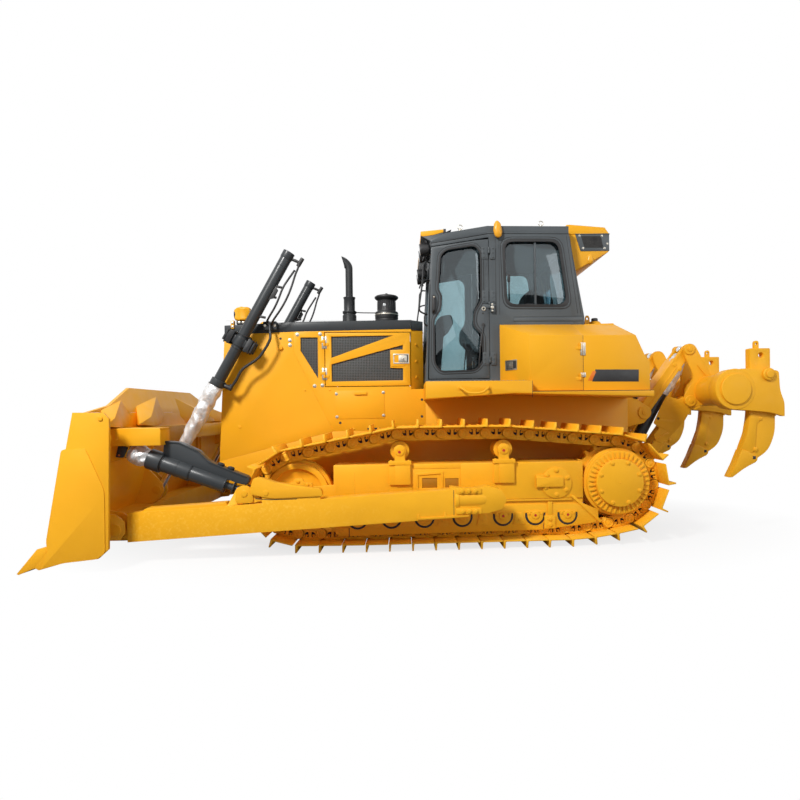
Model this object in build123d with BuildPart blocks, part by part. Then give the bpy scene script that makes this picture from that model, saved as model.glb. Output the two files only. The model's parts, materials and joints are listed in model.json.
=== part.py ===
"""Crawler bulldozer: semi-U blade, closed cab, three-shank parallelogram ripper.

Millimetres. +X forward (blade), +Y left, +Z up. Z = 0 is the ground under the
grouser tips, and the origin is under the middle of the whole machine.
"""
import os
from math import atan2, cos, degrees, hypot, pi, radians, sin

from build123d import *

# ------------------------------------------------------------------ tracks
TRACK_GAUGE = 2100              # centre to centre of the two tracks
TRACK_PITCH = 216
SHOE_WIDTH = 610
SHOE_PLATE = 14
GROUSER = 65
GROUSER_ROOT = 30
GROUSER_TIP = 16
RAIL_HALF = 62                  # track pin to rail top, and pin to shoe plate
RAIL_GAP = 130                  # clear width between the two link rails
RAIL_WIDTH = 42
PIN_Z = GROUSER + SHOE_PLATE + RAIL_HALF

SPROCKET_X, SPROCKET_Z = -1727, 600
SPROCKET_TEETH = 23             # two passes of a half-tooth sprocket
SPROCKET_PIN_R = TRACK_PITCH / (2 * sin(2 * pi / SPROCKET_TEETH))
SPROCKET_WIDTH = 80
IDLER_X, IDLER_Z = 1405, 531
IDLER_R = 320
IDLER_PIN_R = IDLER_R + RAIL_HALF
CARRIER_XS = (411, -601)
CARRIER_Z = 939
CARRIER_R = 100
CARRIER_PIN_R = CARRIER_R + RAIL_HALF
ROLLER_XS = (822, 498, 179, -190, -588, -906, -1227)
ROLLER_R = 85
ROLLER_Z = PIN_Z + RAIL_HALF + ROLLER_R
RUNNING_GAP = 1                 # clearance of rollers and wheels on the rails
IDLER_TREAD_R = (IDLER_PIN_R ** 2 - (TRACK_PITCH / 2) ** 2) ** 0.5 - RAIL_HALF - 3
SPROCKET_RIM_R = SPROCKET_PIN_R - 65
SPROCKET_NECK_R = (SPROCKET_PIN_R ** 2 - (TRACK_PITCH / 2) ** 2) ** 0.5 - RAIL_HALF - 11    # inside the rails
DRIVE_RING_R = 310
DRIVE_COVER_R = 232
RIM_IN = RAIL_GAP / 2 + RAIL_WIDTH + 5   # rim disc starts outside the rails
FLANGE_WIDTH = 14               # flanges of the rollers, outside the rails
DRIVE_IN = 130                  # inner end of the sprocket hub
ROLLER_CLEAR = 110              # straight track past the end rollers
CARRIER_SLACK = 12              # rails ride this far above the carrier rims

ROLLER_GUARD = 15
IDLER_ARM = 40
ARM_SHAFT_R = 70
EQUALIZER_SLOT = 70
DRIVE_HOUSING_R = 290
PULL_HOOK_W = 90
TOW_PIN_X = 2360
TOW_PIN_R = 27
TOW_HOOK_Z = (640, 760)
GRILLE_Z = (980, 2060)

FRAME_HALF = 150                # half width of a track frame
ROLLER_GUARD_Y = FRAME_HALF - ROLLER_GUARD      # roller shafts end in the guards

# ------------------------------------------------------------- track frame
FRAME_Y_IN, FRAME_Y_OUT = TRACK_GAUGE / 2 - FRAME_HALF, TRACK_GAUGE / 2 + FRAME_HALF
FRAME_TOP = 810
FRAME_BOTTOM = 395
FRAME_FRONT, FRAME_REAR = 1050, -1385
GUARD_BOTTOM = 235              # inner roller guard, just above the rail tops
SKIRT_OUTLINE = ((1150, 300), (1085, 215), (1000, 128), (-990, 150), (-1500, 205), (-1535, 240), (-1535, 318),
                 (-1385, 395), (1050, 395))     # outer roller guard, which hides the links of the lower run
PIVOT_X, PIVOT_Z = -1120, 602   # track frame pivot on its cross shaft
PIVOT_R = 150
EQUALIZER_X, EQUALIZER_Z = 760, 600

# -------------------------------------------------------------------- hull
HULL_Y = 590                    # half width of the main frame
HULL_BELLY = 430
HULL_REAR = -2080
HULL_TOP = 1080
PANEL_Y = HULL_Y                # outer face of guard, hood and side panels
GRILLE_Y = PANEL_Y - 120
PANEL = 30                      # wall of guard and engine side panels

GUARD_TOP_FRONT = (2244, 2152)
GUARD_NOSE = (2306, 918)
GUARD_TOE = (2311, 820)
GUARD_HEEL = (1117, 1118)
GUARD_KNEE = (1184, 1251)
GUARD_NECK = (1525, 1961)
GUARD_TOP_REAR = (1525, 2181)
HOOD_REAR_X = 285
HOOD_BAND_REAR_Z = 2203
HOOD_TOP_FRONT_Z, HOOD_TOP_MID_Z, HOOD_TOP_REAR_Z = 2250, 2286, 2302
HOOD_WALL = 20
PANEL_REAR_X = 132
PANEL_BOTTOM = 1118

DOOR_GAP = 8                    # running gap round every door
LEAF = 6                        # thickness of hinge leaves
HINGE_R = 11
HINGE_LONG = 32                 # height of one hinge knuckle
HINGE_REACH = 46
ENGINE_DOOR_X = (284, 1203)
ENGINE_DOOR_Z = (1590, 2175)
PANEL_WINDOW = ((1454, 2120), (1272, 2120), (1272, 1680), (1454, 1980))
DOOR_WINDOWS = (((1130, 2128), (470, 2138), (1130, 1900)),
                ((1130, 1833), (370, 2035), (370, 1985), (505, 1980), (505, 1790), (370, 1785),
                 (370, 1655), (1130, 1648)))

# --------------------------------------------------------------------- cab
CAB_Y = 800
CAB_WALL = 60
CAB_FLOOR_Z = 1606
CAB_FRONT_LOW = (141, CAB_FLOOR_Z)
CAB_FRONT_TOP = (60, 3068)
CAB_TOP_Z = 3168
CAB_BROW_X = -92
CAB_REAR_TOP_X = -1390
CAB_REAR_LOW = (-1546, 2300)
CAB_SILL_Z = 2241               # top of the side boxes, under the side windows
CAB_DOOR_X = (-540, 118)
CAB_DOOR_Z = (1650, 3100)
ROOF_TOP_Z = 3250
GLASS = 8

# ---------------------------------------------------- boxes, tank and decks
BOX_Y = 1200
BOX_FRONT_X = -644
BOX_CHAMFER_X = -877
BOX_DOOR_X = (-1410, -885)
BOX_BOTTOM = 1506
BOX_TOP_OUT = 2050
BOX_TOP_IN = 2214
TANK_REAR_X = -2079
TANK_SHOULDER = (-1859, 2226)
DECK_Y = 1300
DECK_BOTTOM = 1500
FENDER_BOTTOM = 1440

CAB_PROUD = 6                   # cab doors stand this far outside the cab wall
CAB_HINGE_X = -538
CAB_HINGE_ZS = (1850, 2420, 2990)
ENGINE_HINGE_ZS = (1720, 2060)
BOX_WALL = 30
BOX_LINTEL = 40                 # wall left above the box door
BOX_HINGE_X = BOX_DOOR_X[0] + BOX_WALL + DOOR_GAP / 2
BOX_HINGE_ZS = (1640, 1940)

# ------------------------------------------------------- blade and its arms
ARM_PIVOT = (-391, 508)         # trunnion of the push arms on the track frames
ARM_PIN = (2916, 310)           # push arm to blade
ARM_CLEAR = 65                  # gap between the track shoes and the push arms
ARM_WIDTH = 170
ARM_Y_IN = TRACK_GAUGE / 2 + SHOE_WIDTH / 2 + ARM_CLEAR
ARM_Y_OUT = ARM_Y_IN + ARM_WIDTH
ARM_HEIGHT = 258
ARM_REAR_Z, ARM_FRONT_Z = 491, 322   # the beam's centre line above the two pins
BLADE_Y = 1862
END_PLATE = 30
TILT_LUG = (2853, 1006)         # rod end on the blade
TILT_BASE = (1799, 608)         # barrel end on the push arm
TILT_Y = (ARM_Y_IN + ARM_Y_OUT) / 2
LIFT_EYE = (2878, 557)          # rod end on the blade
LIFT_YOKE = (2044, 2063)        # barrel trunnion on the radiator guard
LIFT_Y = PANEL_Y + 135
LIFT_BARREL_R = 58
LIFT_ROD_R = 36
LIFT_GLAND = 1211               # eye to gland, along the cylinder
LIFT_TOP = 2775                 # eye to the closed end of the barrel

LIFT_TILT = degrees(atan2(LIFT_EYE[0] - LIFT_YOKE[0], LIFT_YOKE[1] - LIFT_EYE[1])) * -1
YOKE_HALF = 78
YOKE_PIN_R = 34
TILT_LENGTH = hypot(TILT_LUG[0] - TILT_BASE[0], TILT_LUG[1] - TILT_BASE[1])
TILT_BARREL_R = 68
TILT_ROD_R = 40
TILT_GLAND = 905
TILT_NECK = 195
TILT_PIN_R = 30
ARM_PIN_R = 42
EXHAUST_X = 985
PRECLEANER_X = 555
VISOR_Y = CAB_Y - 40
AC_Y = CAB_Y - 140
FRONT_GLASS_Y = CAB_Y - 160
REAR_GLASS_Y = CAB_Y - 200

# ------------------------------------------------------------------ ripper
RIP_A = (-2284, 705)            # lower links to the mount
RIP_B = (-2277, 1276)           # upper links to the mount
RIP_C = (-2793, 1968)           # upper links to the beam
RIP_D = (-2800, 1397)           # lower links to the beam
RIP_E = (-2190, 860)            # cylinder base pin
RIP_PLATE = 35
RIP_LINK = 40                   # thickness of a link plate
RIP_CLEAR = 5.5                 # link plate to cheek
RIP_CHEEK_YS = (HULL_Y - 318, HULL_Y - 42)      # plates of mount and beam outside the links
RIP_LINK_STEP = (RIP_PLATE + RIP_LINK) / 2 + RIP_CLEAR
RIP_LINK_YS = (RIP_CHEEK_YS[0] + RIP_LINK_STEP, RIP_CHEEK_YS[1] - RIP_LINK_STEP)
RIP_CYL_Y = (RIP_CHEEK_YS[0] + RIP_CHEEK_YS[1]) / 2
RIP_BEAM = (-3010, 1505)
RIP_BEAM_R = 165
RIP_BEAM_Y = 930
SHANK_YS = (1000, 0, -1000)
SHANK_WIDTH = 80
HOLDER_PLATE = 60               # plates of a shank holder, each side of the shank
HOLDER_WEB_X = -3222            # web joining the two plates in front of the shank

LINK_DEPTH = 118
RIP_PIN_R = 37
PIN_REACH = 26                  # pins stop this far from the middle of a link plate
PIN_FIT = 0.3                   # radial clearance of pins, rods and trunnions
RIP_BARREL_R = 65
RIP_ROD_R = 38
RIP_LENGTH = hypot(RIP_C[0] - RIP_E[0], RIP_C[1] - RIP_E[1])
RIP_GLAND = 700
HOLDER_OUTLINE = ((-3221, 1927), (-3480, 1927), (-3480, 1720), (-3592, 1480), (-3592, 1215), (-3400, 1215),
                  (-3221, 1255), (-3130, 1290), (-3130, 1700))
SHANK_OUTLINE = ((-3245, 2010), (-3330, 2030), (-3395, 1990), (-3395, 1285), (-3467, 1285), (-3459, 1046),
                 (-3383, 870), (-3259, 788), (-3253, 753), (-3099, 679), (-2989, 600), (-2958, 600),
                 (-3027, 733), (-3102, 886), (-3165, 1050), (-3192, 1285), (-3245, 1285))
SHANK_EYE = (-3325, 1965)

# ------------------------------------------------------------- blade shape
WING_Y = 1400                   # the wings angle forward outside this
WING_SWEEP = 60
WING = BLADE_Y - END_PLATE - WING_Y
END_OUTLINE = ((3121, 1347), (2873, 1343), (2827, 1290), (2844, 200), (2930, 122), (3200, 97),
               (3405, 41), (3440, 60), (3330, 200), (3342, 277), (3212, 1033), (3178, 1045))
FACE_BOTTOM, FACE_MIDDLE, FACE_TOP = (3350, 190), (3098, 720), (3118, 1345)
FACE_PLATE = 32
EDGE_OUTLINE = ((3576, 3), (3592, 22), (3420, 215), (3380, 215), (3350, 190), (3395, 170))
BACK_Y = 1370
ARM_MIDDLE = (ARM_Y_IN + ARM_Y_OUT) / 2
SHELF_Z = 1188                  # guard shelf over the tilt cylinder
SHELF = 16
SHELF_Y_IN, SHELF_Y_OUT = TILT_Y - 75, TILT_Y + 135
BACK_BOXES = ((170, 420, 2900), (1040, 1200, 2880))     # bottom, top, rear face
LUG_YS = (LIFT_Y + 50, LIFT_Y - 50, 50 - LIFT_Y, -50 - LIFT_Y)
GUARD_BASE_Z, GUARD_TOP_Z = 1345, 1592      # spill guard, which leans forward
GUARD_LEAN = 85
GUSSETS = ((880, 1530), (1630, 1372))       # place across the blade, height of the rib's top


# ----------------------------------------------------------------- helpers
def at_y(y):
    """Side-view plane at y; an extrusion from it grows towards -Y."""
    return Plane.XZ.offset(-y)


def outline(*points):
    """Straight-sided face through the points, inside a sketch."""
    Polygon(*points, align=None)


def polar(centre, radius, angle_deg):
    """Point at a radius and angle from a centre, in side view."""
    a = radians(angle_deg)
    return (centre[0] + radius * cos(a), centre[1] + radius * sin(a))


def along(start, end, distance):
    """Point at a distance from start towards end."""
    run = hypot(end[0] - start[0], end[1] - start[1])
    share = distance / run
    return (start[0] + share * (end[0] - start[0]), start[1] + share * (end[1] - start[1]))


def slab(y_high, y_low, *points, mode=Mode.ADD):
    """Plate between two y values with a straight-sided side view."""
    with BuildSketch(at_y(y_high)) as side_view:
        outline(*points)
    extrude(side_view.sketch, amount=y_high - y_low, mode=mode)


def disc(centre, radius, y_high, y_low, mode=Mode.ADD):
    """Round bar along Y."""
    with BuildSketch(at_y(y_high)) as circle:
        with Locations(centre):
            Circle(radius)
    extrude(circle.sketch, amount=y_high - y_low, mode=mode)


def block(x0, x1, y0, y1, z0, z1, mode=Mode.ADD):
    """Box between two corners."""
    with Locations(((x0 + x1) / 2, (y0 + y1) / 2, (z0 + z1) / 2)):
        Box(x1 - x0, y1 - y0, z1 - z0, mode=mode)


def bar(start, end, depth, y_high, y_low, mode=Mode.ADD):
    """Round-ended bar from pin to pin in side view."""
    length = hypot(end[0] - start[0], end[1] - start[1])
    angle = degrees(atan2(end[1] - start[1], end[0] - start[0]))
    middle = ((start[0] + end[0]) / 2, (start[1] + end[1]) / 2)
    with BuildSketch(at_y(y_high)) as slot:
        with Locations(Location((middle[0], middle[1], 0), (0, 0, angle))):
            SlotCenterToCenter(length, depth)
    extrude(slot.sketch, amount=y_high - y_low, mode=mode)


def cylinder_axis(start, end, y):
    """Plane at start whose normal points to end, in side view at y."""
    direction = (end[0] - start[0], 0, end[1] - start[1])
    return Plane(origin=(start[0], y, start[1]), x_dir=(0, 1, 0), z_dir=direction)


def rod(start, end, y, radius, begin, finish, mode=Mode.ADD):
    """Round bar on the line from start to end, between two distances from start."""
    with BuildSketch(cylinder_axis(start, end, y).offset(begin)) as circle:
        Circle(radius)
    extrude(circle.sketch, amount=finish - begin, mode=mode)


def knuckle(x, face_y, radius, z0, z1, reach):
    """Hinge knuckle standing on an outer face, with a leaf reaching to one side."""
    block(*sorted((x, x + reach)), face_y, face_y + LEAF, z0, z1)
    with Locations((x, face_y + radius, (z0 + z1) / 2)):
        Cylinder(radius, z1 - z0)


def save(piece, name):
    """Label a piece and write it to its file."""
    piece.part.label = name
    export_step(piece.part, f"parts/{name}.step")


def both_sides(piece):
    """The piece and its mirror image, as one part of separate solids."""
    with BuildPart() as pair:
        add(piece.part)
        mirror(piece.part, about=Plane.XZ)
    return pair


def other_side(piece):
    """The mirror image of a left-hand piece."""
    with BuildPart() as image:
        mirror(piece.part, about=Plane.XZ)
    return image


def face_section(plane_y, shift):
    """Curved moldboard section in side view, shifted in X."""
    def moved(point, back=0):
        return (point[0] + shift - back, point[1])
    with BuildSketch(Plane.XZ.offset(-plane_y)) as section:
        with BuildLine():
            ThreePointArc(moved(FACE_BOTTOM), moved(FACE_MIDDLE), moved(FACE_TOP))
            Line(moved(FACE_TOP), moved(FACE_TOP, FACE_PLATE))
            ThreePointArc(moved(FACE_TOP, FACE_PLATE), moved(FACE_MIDDLE, FACE_PLATE), moved(FACE_BOTTOM, FACE_PLATE))
            Line(moved(FACE_BOTTOM, FACE_PLATE), moved(FACE_BOTTOM))
        make_face()
    return section.sketch


def edge_section(plane_y, shift):
    """Cutting edge section in side view, shifted in X."""
    with BuildSketch(Plane.XZ.offset(-plane_y)) as section:
        outline(*[(x + shift, z) for x, z in EDGE_OUTLINE])
    return section.sketch


def back_line(z):
    """X inside the moldboard plate at a height, over the straight middle of the blade."""
    half = (FACE_TOP[1] - FACE_BOTTOM[1]) / 2
    share = (z - FACE_BOTTOM[1] - half) / half
    return FACE_MIDDLE[0] - WING_SWEEP - FACE_PLATE / 2 + 130 * share ** 2 - 118 * share + 12 - 12 * share ** 2


def hood_top(x):
    """Height of the hood's top face behind the radiator guard."""
    rear_x = HOOD_REAR_X - 8
    share = (x - rear_x) / (1525 - rear_x)
    return HOOD_TOP_REAR_Z + share * (HOOD_TOP_MID_Z - HOOD_TOP_REAR_Z)


os.makedirs("parts", exist_ok=True)


# ---------------------------------------------------------------- the track
def wheel_stops():
    """Circles that the pin line wraps, clockwise from the idler."""
    drop = ROLLER_Z - PIN_Z
    return [((IDLER_X, IDLER_Z), IDLER_PIN_R),
            ((ROLLER_XS[0], ROLLER_Z), drop),
            ((ROLLER_XS[-1] - ROLLER_CLEAR, ROLLER_Z), drop),
            ((SPROCKET_X, SPROCKET_Z), SPROCKET_PIN_R),
            ((CARRIER_XS[1], CARRIER_Z), CARRIER_PIN_R),
            ((CARRIER_XS[0], CARRIER_Z), CARRIER_PIN_R)]


def tangent(c1, r1, c2, r2):
    """Ends of the outer tangent of two circles, left of the way from c1 to c2."""
    span = hypot(c2[0] - c1[0], c2[1] - c1[1])
    ux, uz = (c2[0] - c1[0]) / span, (c2[1] - c1[1]) / span
    lean = (r1 - r2) / span
    side = (1 - lean ** 2) ** 0.5
    nx, nz = lean * ux - side * uz, lean * uz + side * ux
    return (c1[0] + r1 * nx, c1[1] + r1 * nz), (c2[0] + r2 * nx, c2[1] + r2 * nz)


def pin_line():
    """The pin line as runs (start, end) and the arcs (centre, radius, angle, turn) after them."""
    stops = wheel_stops()
    runs = [tangent(*stops[i - 1], *stops[i]) for i in range(len(stops))]
    pieces = []
    for i, (centre, radius) in enumerate(stops):
        leave = runs[(i + 1) % len(stops)][0]
        arrive = runs[i][1]
        start = atan2(arrive[1] - centre[1], arrive[0] - centre[0])
        end = atan2(leave[1] - centre[1], leave[0] - centre[0])
        pieces.append((runs[i], (centre, radius, start, (start - end) % (2 * pi))))
    return pieces


def track_pins():
    """Pin places evenly spaced round the loop, as close to the pitch as closes it."""
    pieces = pin_line()
    lengths = []
    for (a, b), (_, radius, _, turn) in pieces:
        lengths += [hypot(b[0] - a[0], b[1] - a[1]), radius * turn]
    total = sum(lengths)
    count = round(total / TRACK_PITCH)
    pins = []
    for k in range(count):
        rest = k * total / count
        for (a, b), (centre, radius, start, turn) in pieces:
            run = hypot(b[0] - a[0], b[1] - a[1])
            if rest <= run:
                pins.append(along(a, b, rest))
                break
            rest -= run
            if rest <= radius * turn:
                pins.append(polar(centre, radius, degrees(start - rest / radius)))
                break
            rest -= radius * turn
    return pins


def track(y):
    """One closed track: two rails of links with a shoe and its grouser on each."""
    pins = track_pins()
    half = TRACK_PITCH / 2 - 3
    outer = RAIL_HALF + SHOE_PLATE
    shoe = [(-half, RAIL_HALF), (half, RAIL_HALF), (half, outer),
            (GROUSER_ROOT - half, outer), (GROUSER_TIP - half, outer + GROUSER),
            (-half, outer + GROUSER)]
    spots = []
    for i, pin in enumerate(pins):
        before = pins[i - 1]
        heading = degrees(atan2(pin[1] - before[1], pin[0] - before[0]))
        middle = ((pin[0] + before[0]) / 2, (pin[1] + before[1]) / 2)
        reach = hypot(pin[0] - before[0], pin[1] - before[1])
        spots.append((Location((middle[0], middle[1], 0), (0, 0, heading)), reach))
    rail_in = RAIL_GAP / 2
    with BuildPart() as loop:
        with BuildSketch(at_y(y + SHOE_WIDTH / 2)):
            for place, _ in spots:
                with Locations(place):
                    Polygon(*shoe, align=None)
        extrude(amount=SHOE_WIDTH)
        for side in (y + rail_in + RAIL_WIDTH, y - rail_in):
            with BuildSketch(at_y(side)):
                for place, reach in spots:
                    with Locations(place):
                        SlotCenterToCenter(reach, 2 * RAIL_HALF - 2)
                        with Locations((0, 1)):
                            Rectangle(reach * 0.6, 2 * RAIL_HALF + 2)
            extrude(amount=RAIL_WIDTH)
    return loop


def sprocket(y):
    """Toothed ring, its rim disc and the final drive cover outside it."""
    valley = SPROCKET_PIN_R - 36
    tip = SPROCKET_PIN_R + 10
    step = 360 / SPROCKET_TEETH
    with BuildPart() as wheel:
        disc((SPROCKET_X, SPROCKET_Z), valley, y + SPROCKET_WIDTH / 2, y - SPROCKET_WIDTH / 2)
        with BuildSketch(at_y(y + SPROCKET_WIDTH / 2)):
            for tooth in range(SPROCKET_TEETH):
                place = Location((SPROCKET_X, SPROCKET_Z, 0), (0, 0, tooth * step))
                with Locations(place):
                    Polygon((valley - 12, -26), (tip, -10), (tip, 10), (valley - 12, 26), align=None)
        extrude(amount=SPROCKET_WIDTH)
        disc((SPROCKET_X, SPROCKET_Z), SPROCKET_NECK_R, y + RIM_IN, y + SPROCKET_WIDTH / 2)
        disc((SPROCKET_X, SPROCKET_Z), SPROCKET_RIM_R, y + 150, y + RIM_IN)
        disc((SPROCKET_X, SPROCKET_Z), DRIVE_RING_R, y + 215, y + 150)
        disc((SPROCKET_X, SPROCKET_Z), DRIVE_COVER_R, y + 262, y + 215)
        disc((SPROCKET_X, SPROCKET_Z), SPROCKET_NECK_R, y - SPROCKET_WIDTH / 2, y - DRIVE_IN)
    return wheel


def idler(y):
    """Front wheel with its centre flange between the rails, and its hub."""
    with BuildPart() as wheel:
        tread_edge = RAIL_GAP / 2 + RAIL_WIDTH
        disc((IDLER_X, IDLER_Z), IDLER_TREAD_R, y + tread_edge, y - tread_edge)
        disc((IDLER_X, IDLER_Z), IDLER_TREAD_R + 30, y + RAIL_GAP / 2 - 8, y - RAIL_GAP / 2 + 8)
        disc((IDLER_X, IDLER_Z), IDLER_TREAD_R - 55, y + tread_edge, y + tread_edge - 32, Mode.SUBTRACT)
        disc((IDLER_X, IDLER_Z), IDLER_TREAD_R - 55, y - tread_edge + 32, y - tread_edge, Mode.SUBTRACT)
        disc((IDLER_X, IDLER_Z), 105, y + FRAME_HALF - IDLER_ARM, y - FRAME_HALF + IDLER_ARM)
    return wheel


def roller(x, z, radius, y, flange=18):
    """Track roller with rims on the rails and flanges outside them."""
    edge = RAIL_GAP / 2 + RAIL_WIDTH + 3
    with BuildPart() as wheel:
        disc((x, z), radius - RUNNING_GAP, y + edge, y - edge)
        for low in (y + edge, y - edge - FLANGE_WIDTH):
            disc((x, z), radius + flange, low + FLANGE_WIDTH, low)
        disc((x, z), 40, y + ROLLER_GUARD_Y, y - ROLLER_GUARD_Y)
    return wheel


left_track = track(TRACK_GAUGE / 2)
save(left_track, "track_left")
save(other_side(left_track), "track_right")

save(both_sides(sprocket(TRACK_GAUGE / 2)), "sprockets")
save(both_sides(idler(TRACK_GAUGE / 2)), "idlers")

with BuildPart() as track_rollers:
    for x in ROLLER_XS:
        add(roller(x, ROLLER_Z, ROLLER_R, TRACK_GAUGE / 2).part)
save(both_sides(track_rollers), "track_rollers")

with BuildPart() as carrier_rollers:
    for x in CARRIER_XS:
        add(roller(x, CARRIER_Z, CARRIER_R - CARRIER_SLACK, TRACK_GAUGE / 2, flange=4).part)
save(both_sides(carrier_rollers), "carrier_rollers")

# ------------------------------------------------------------ track frames
with BuildPart() as track_frame:
    block(FRAME_REAR, FRAME_FRONT, FRAME_Y_IN, FRAME_Y_OUT, FRAME_BOTTOM, FRAME_TOP)
    slab(FRAME_Y_OUT, FRAME_Y_OUT - ROLLER_GUARD, *SKIRT_OUTLINE)
    slab(FRAME_Y_IN + ROLLER_GUARD, FRAME_Y_IN, (FRAME_REAR - 150, GUARD_BOTTOM + 30), (FRAME_REAR, GUARD_BOTTOM),
         (FRAME_FRONT, GUARD_BOTTOM), (FRAME_FRONT, FRAME_BOTTOM), (FRAME_REAR, FRAME_BOTTOM),
         (FRAME_REAR - 150, GUARD_BOTTOM + 90))
    for y in (FRAME_Y_OUT, FRAME_Y_IN + IDLER_ARM):
        slab(y, y - IDLER_ARM, (FRAME_FRONT, IDLER_Z - 70), (IDLER_X + 90, IDLER_Z - 60),
             (IDLER_X + 90, IDLER_Z + 60), (FRAME_FRONT, IDLER_Z + 90))
    for x in CARRIER_XS:
        block(x - 100, x + 100, FRAME_Y_OUT, FRAME_Y_OUT + 35, 613, FRAME_TOP + 22)
        slab(FRAME_Y_OUT + 35, FRAME_Y_OUT, (x - 52, FRAME_TOP + 22), (x + 52, FRAME_TOP + 22),
             (x + 45, CARRIER_Z), (x - 45, CARRIER_Z))
        disc((x, CARRIER_Z), 60, FRAME_Y_OUT + 35, TRACK_GAUGE / 2 + ROLLER_GUARD_Y)
    disc((PIVOT_X, PIVOT_Z), PIVOT_R, FRAME_Y_OUT + 28, FRAME_Y_OUT)
    disc((SPROCKET_X, SPROCKET_Z), SPROCKET_PIN_R + 30, TRACK_GAUGE / 2 + SPROCKET_WIDTH / 2 + 12,
         TRACK_GAUGE / 2 - SPROCKET_WIDTH / 2 - 12, Mode.SUBTRACT)
    disc(ARM_PIVOT, ARM_SHAFT_R, ARM_Y_OUT - 60, FRAME_Y_OUT)
save(track_frame, "track_frame_left")
save(other_side(track_frame), "track_frame_right")

with BuildPart() as pivot_shafts:
    disc((PIVOT_X, PIVOT_Z), 95, FRAME_Y_IN, HULL_Y)
save(both_sides(pivot_shafts), "pivot_shafts")

with BuildPart() as equalizer_bar:
    block(EQUALIZER_X - 50, EQUALIZER_X + 50, -FRAME_Y_IN, FRAME_Y_IN, EQUALIZER_Z - 65, EQUALIZER_Z + 65)
    with BuildSketch(Plane.YZ.offset(EQUALIZER_X - EQUALIZER_SLOT)):
        with Locations((0, EQUALIZER_Z)):
            Circle(48)
    extrude(amount=2 * EQUALIZER_SLOT)
save(equalizer_bar, "equalizer_bar")

# --------------------------------------------------------------- main frame
with BuildPart() as main_frame:
    slab(HULL_Y, -HULL_Y, (HULL_REAR, 560), (HULL_REAR + 130, HULL_BELLY), (1500, HULL_BELLY),
         (2250, 600), GUARD_TOE, GUARD_HEEL, (PANEL_REAR_X, PANEL_BOTTOM),
         (PANEL_REAR_X, DECK_BOTTOM), (HULL_REAR, DECK_BOTTOM))
    block(EQUALIZER_X - EQUALIZER_SLOT, EQUALIZER_X + EQUALIZER_SLOT, -HULL_Y, HULL_Y,
          EQUALIZER_Z - 85, EQUALIZER_Z + 85, Mode.SUBTRACT)
    for side in (1, -1):
        drive_in, drive_out = sorted((side * HULL_Y, side * (TRACK_GAUGE / 2 - DRIVE_IN)))
        disc((SPROCKET_X, SPROCKET_Z), DRIVE_HOUSING_R, drive_out, drive_in)
    block(2240, TOW_PIN_X + 60, -PULL_HOOK_W, PULL_HOOK_W, *TOW_HOOK_Z)
    with BuildSketch(Plane.XY.offset(TOW_HOOK_Z[0])) as tow_bore:
        with Locations((TOW_PIN_X, 0)):
            Circle(TOW_PIN_R)
    extrude(tow_bore.sketch, amount=TOW_HOOK_Z[1] - TOW_HOOK_Z[0], mode=Mode.SUBTRACT)
save(main_frame, "main_frame")

with BuildPart() as engine:
    block(350, 1060, -380, 380, PANEL_BOTTOM, 2050)
save(engine, "engine")

# -------------------------------------------- radiator guard, panels and hood
GUARD_OUTLINE = (GUARD_TOP_FRONT, GUARD_NOSE, GUARD_TOE, GUARD_HEEL, GUARD_KNEE, GUARD_NECK, GUARD_TOP_REAR)
with BuildPart() as radiator_guard:
    slab(PANEL_Y, -PANEL_Y, *GUARD_OUTLINE)
    slab(PANEL_Y - PANEL, PANEL - PANEL_Y, (2200, 2300), (2262, 918), (2268, 862), (1117, 1149),
         (1000, 1149), (1000, 2300), mode=Mode.SUBTRACT)
    block(2150, 2400, -GRILLE_Y, GRILLE_Y, GRILLE_Z[0], GRILLE_Z[1], Mode.SUBTRACT)
save(radiator_guard, "radiator_guard")

with BuildPart() as radiator_grille:
    slab(GRILLE_Y - 1, 1 - GRILLE_Y, (2275, GRILLE_Z[0]), (2250, GRILLE_Z[0]), (2202, GRILLE_Z[1]), (2227, GRILLE_Z[1]))
save(radiator_grille, "radiator_grille")

with BuildPart() as side_panel:
    slab(PANEL_Y, PANEL_Y - PANEL, GUARD_TOP_REAR, GUARD_NECK, GUARD_KNEE, GUARD_HEEL,
         (PANEL_REAR_X, PANEL_BOTTOM), (PANEL_REAR_X, 1560), (HOOD_REAR_X, 1560),
         (HOOD_REAR_X - 5, HOOD_BAND_REAR_Z))
    block(*ENGINE_DOOR_X, PANEL_Y - PANEL, PANEL_Y, *ENGINE_DOOR_Z, Mode.SUBTRACT)
    slab(PANEL_Y, PANEL_Y - PANEL + 5, *PANEL_WINDOW, mode=Mode.SUBTRACT)
    for z in ENGINE_HINGE_ZS:
        knuckle(ENGINE_DOOR_X[1], PANEL_Y, HINGE_R, z, z + HINGE_LONG, HINGE_REACH)
save(both_sides(side_panel), "engine_side_panels")

with BuildPart() as engine_door:
    block(ENGINE_DOOR_X[0] + DOOR_GAP, ENGINE_DOOR_X[1] - DOOR_GAP, PANEL_Y - PANEL, PANEL_Y,
          ENGINE_DOOR_Z[0] + DOOR_GAP, ENGINE_DOOR_Z[1] - DOOR_GAP)
    for window in DOOR_WINDOWS:
        slab(PANEL_Y, PANEL_Y - PANEL + 5, *window, mode=Mode.SUBTRACT)
    for z in ENGINE_HINGE_ZS:
        top = z - PIN_FIT
        knuckle(ENGINE_DOOR_X[1], PANEL_Y, HINGE_R, top - HINGE_LONG, top, -HINGE_REACH)
save(engine_door, "engine_door_left")
save(other_side(engine_door), "engine_door_right")

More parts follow.
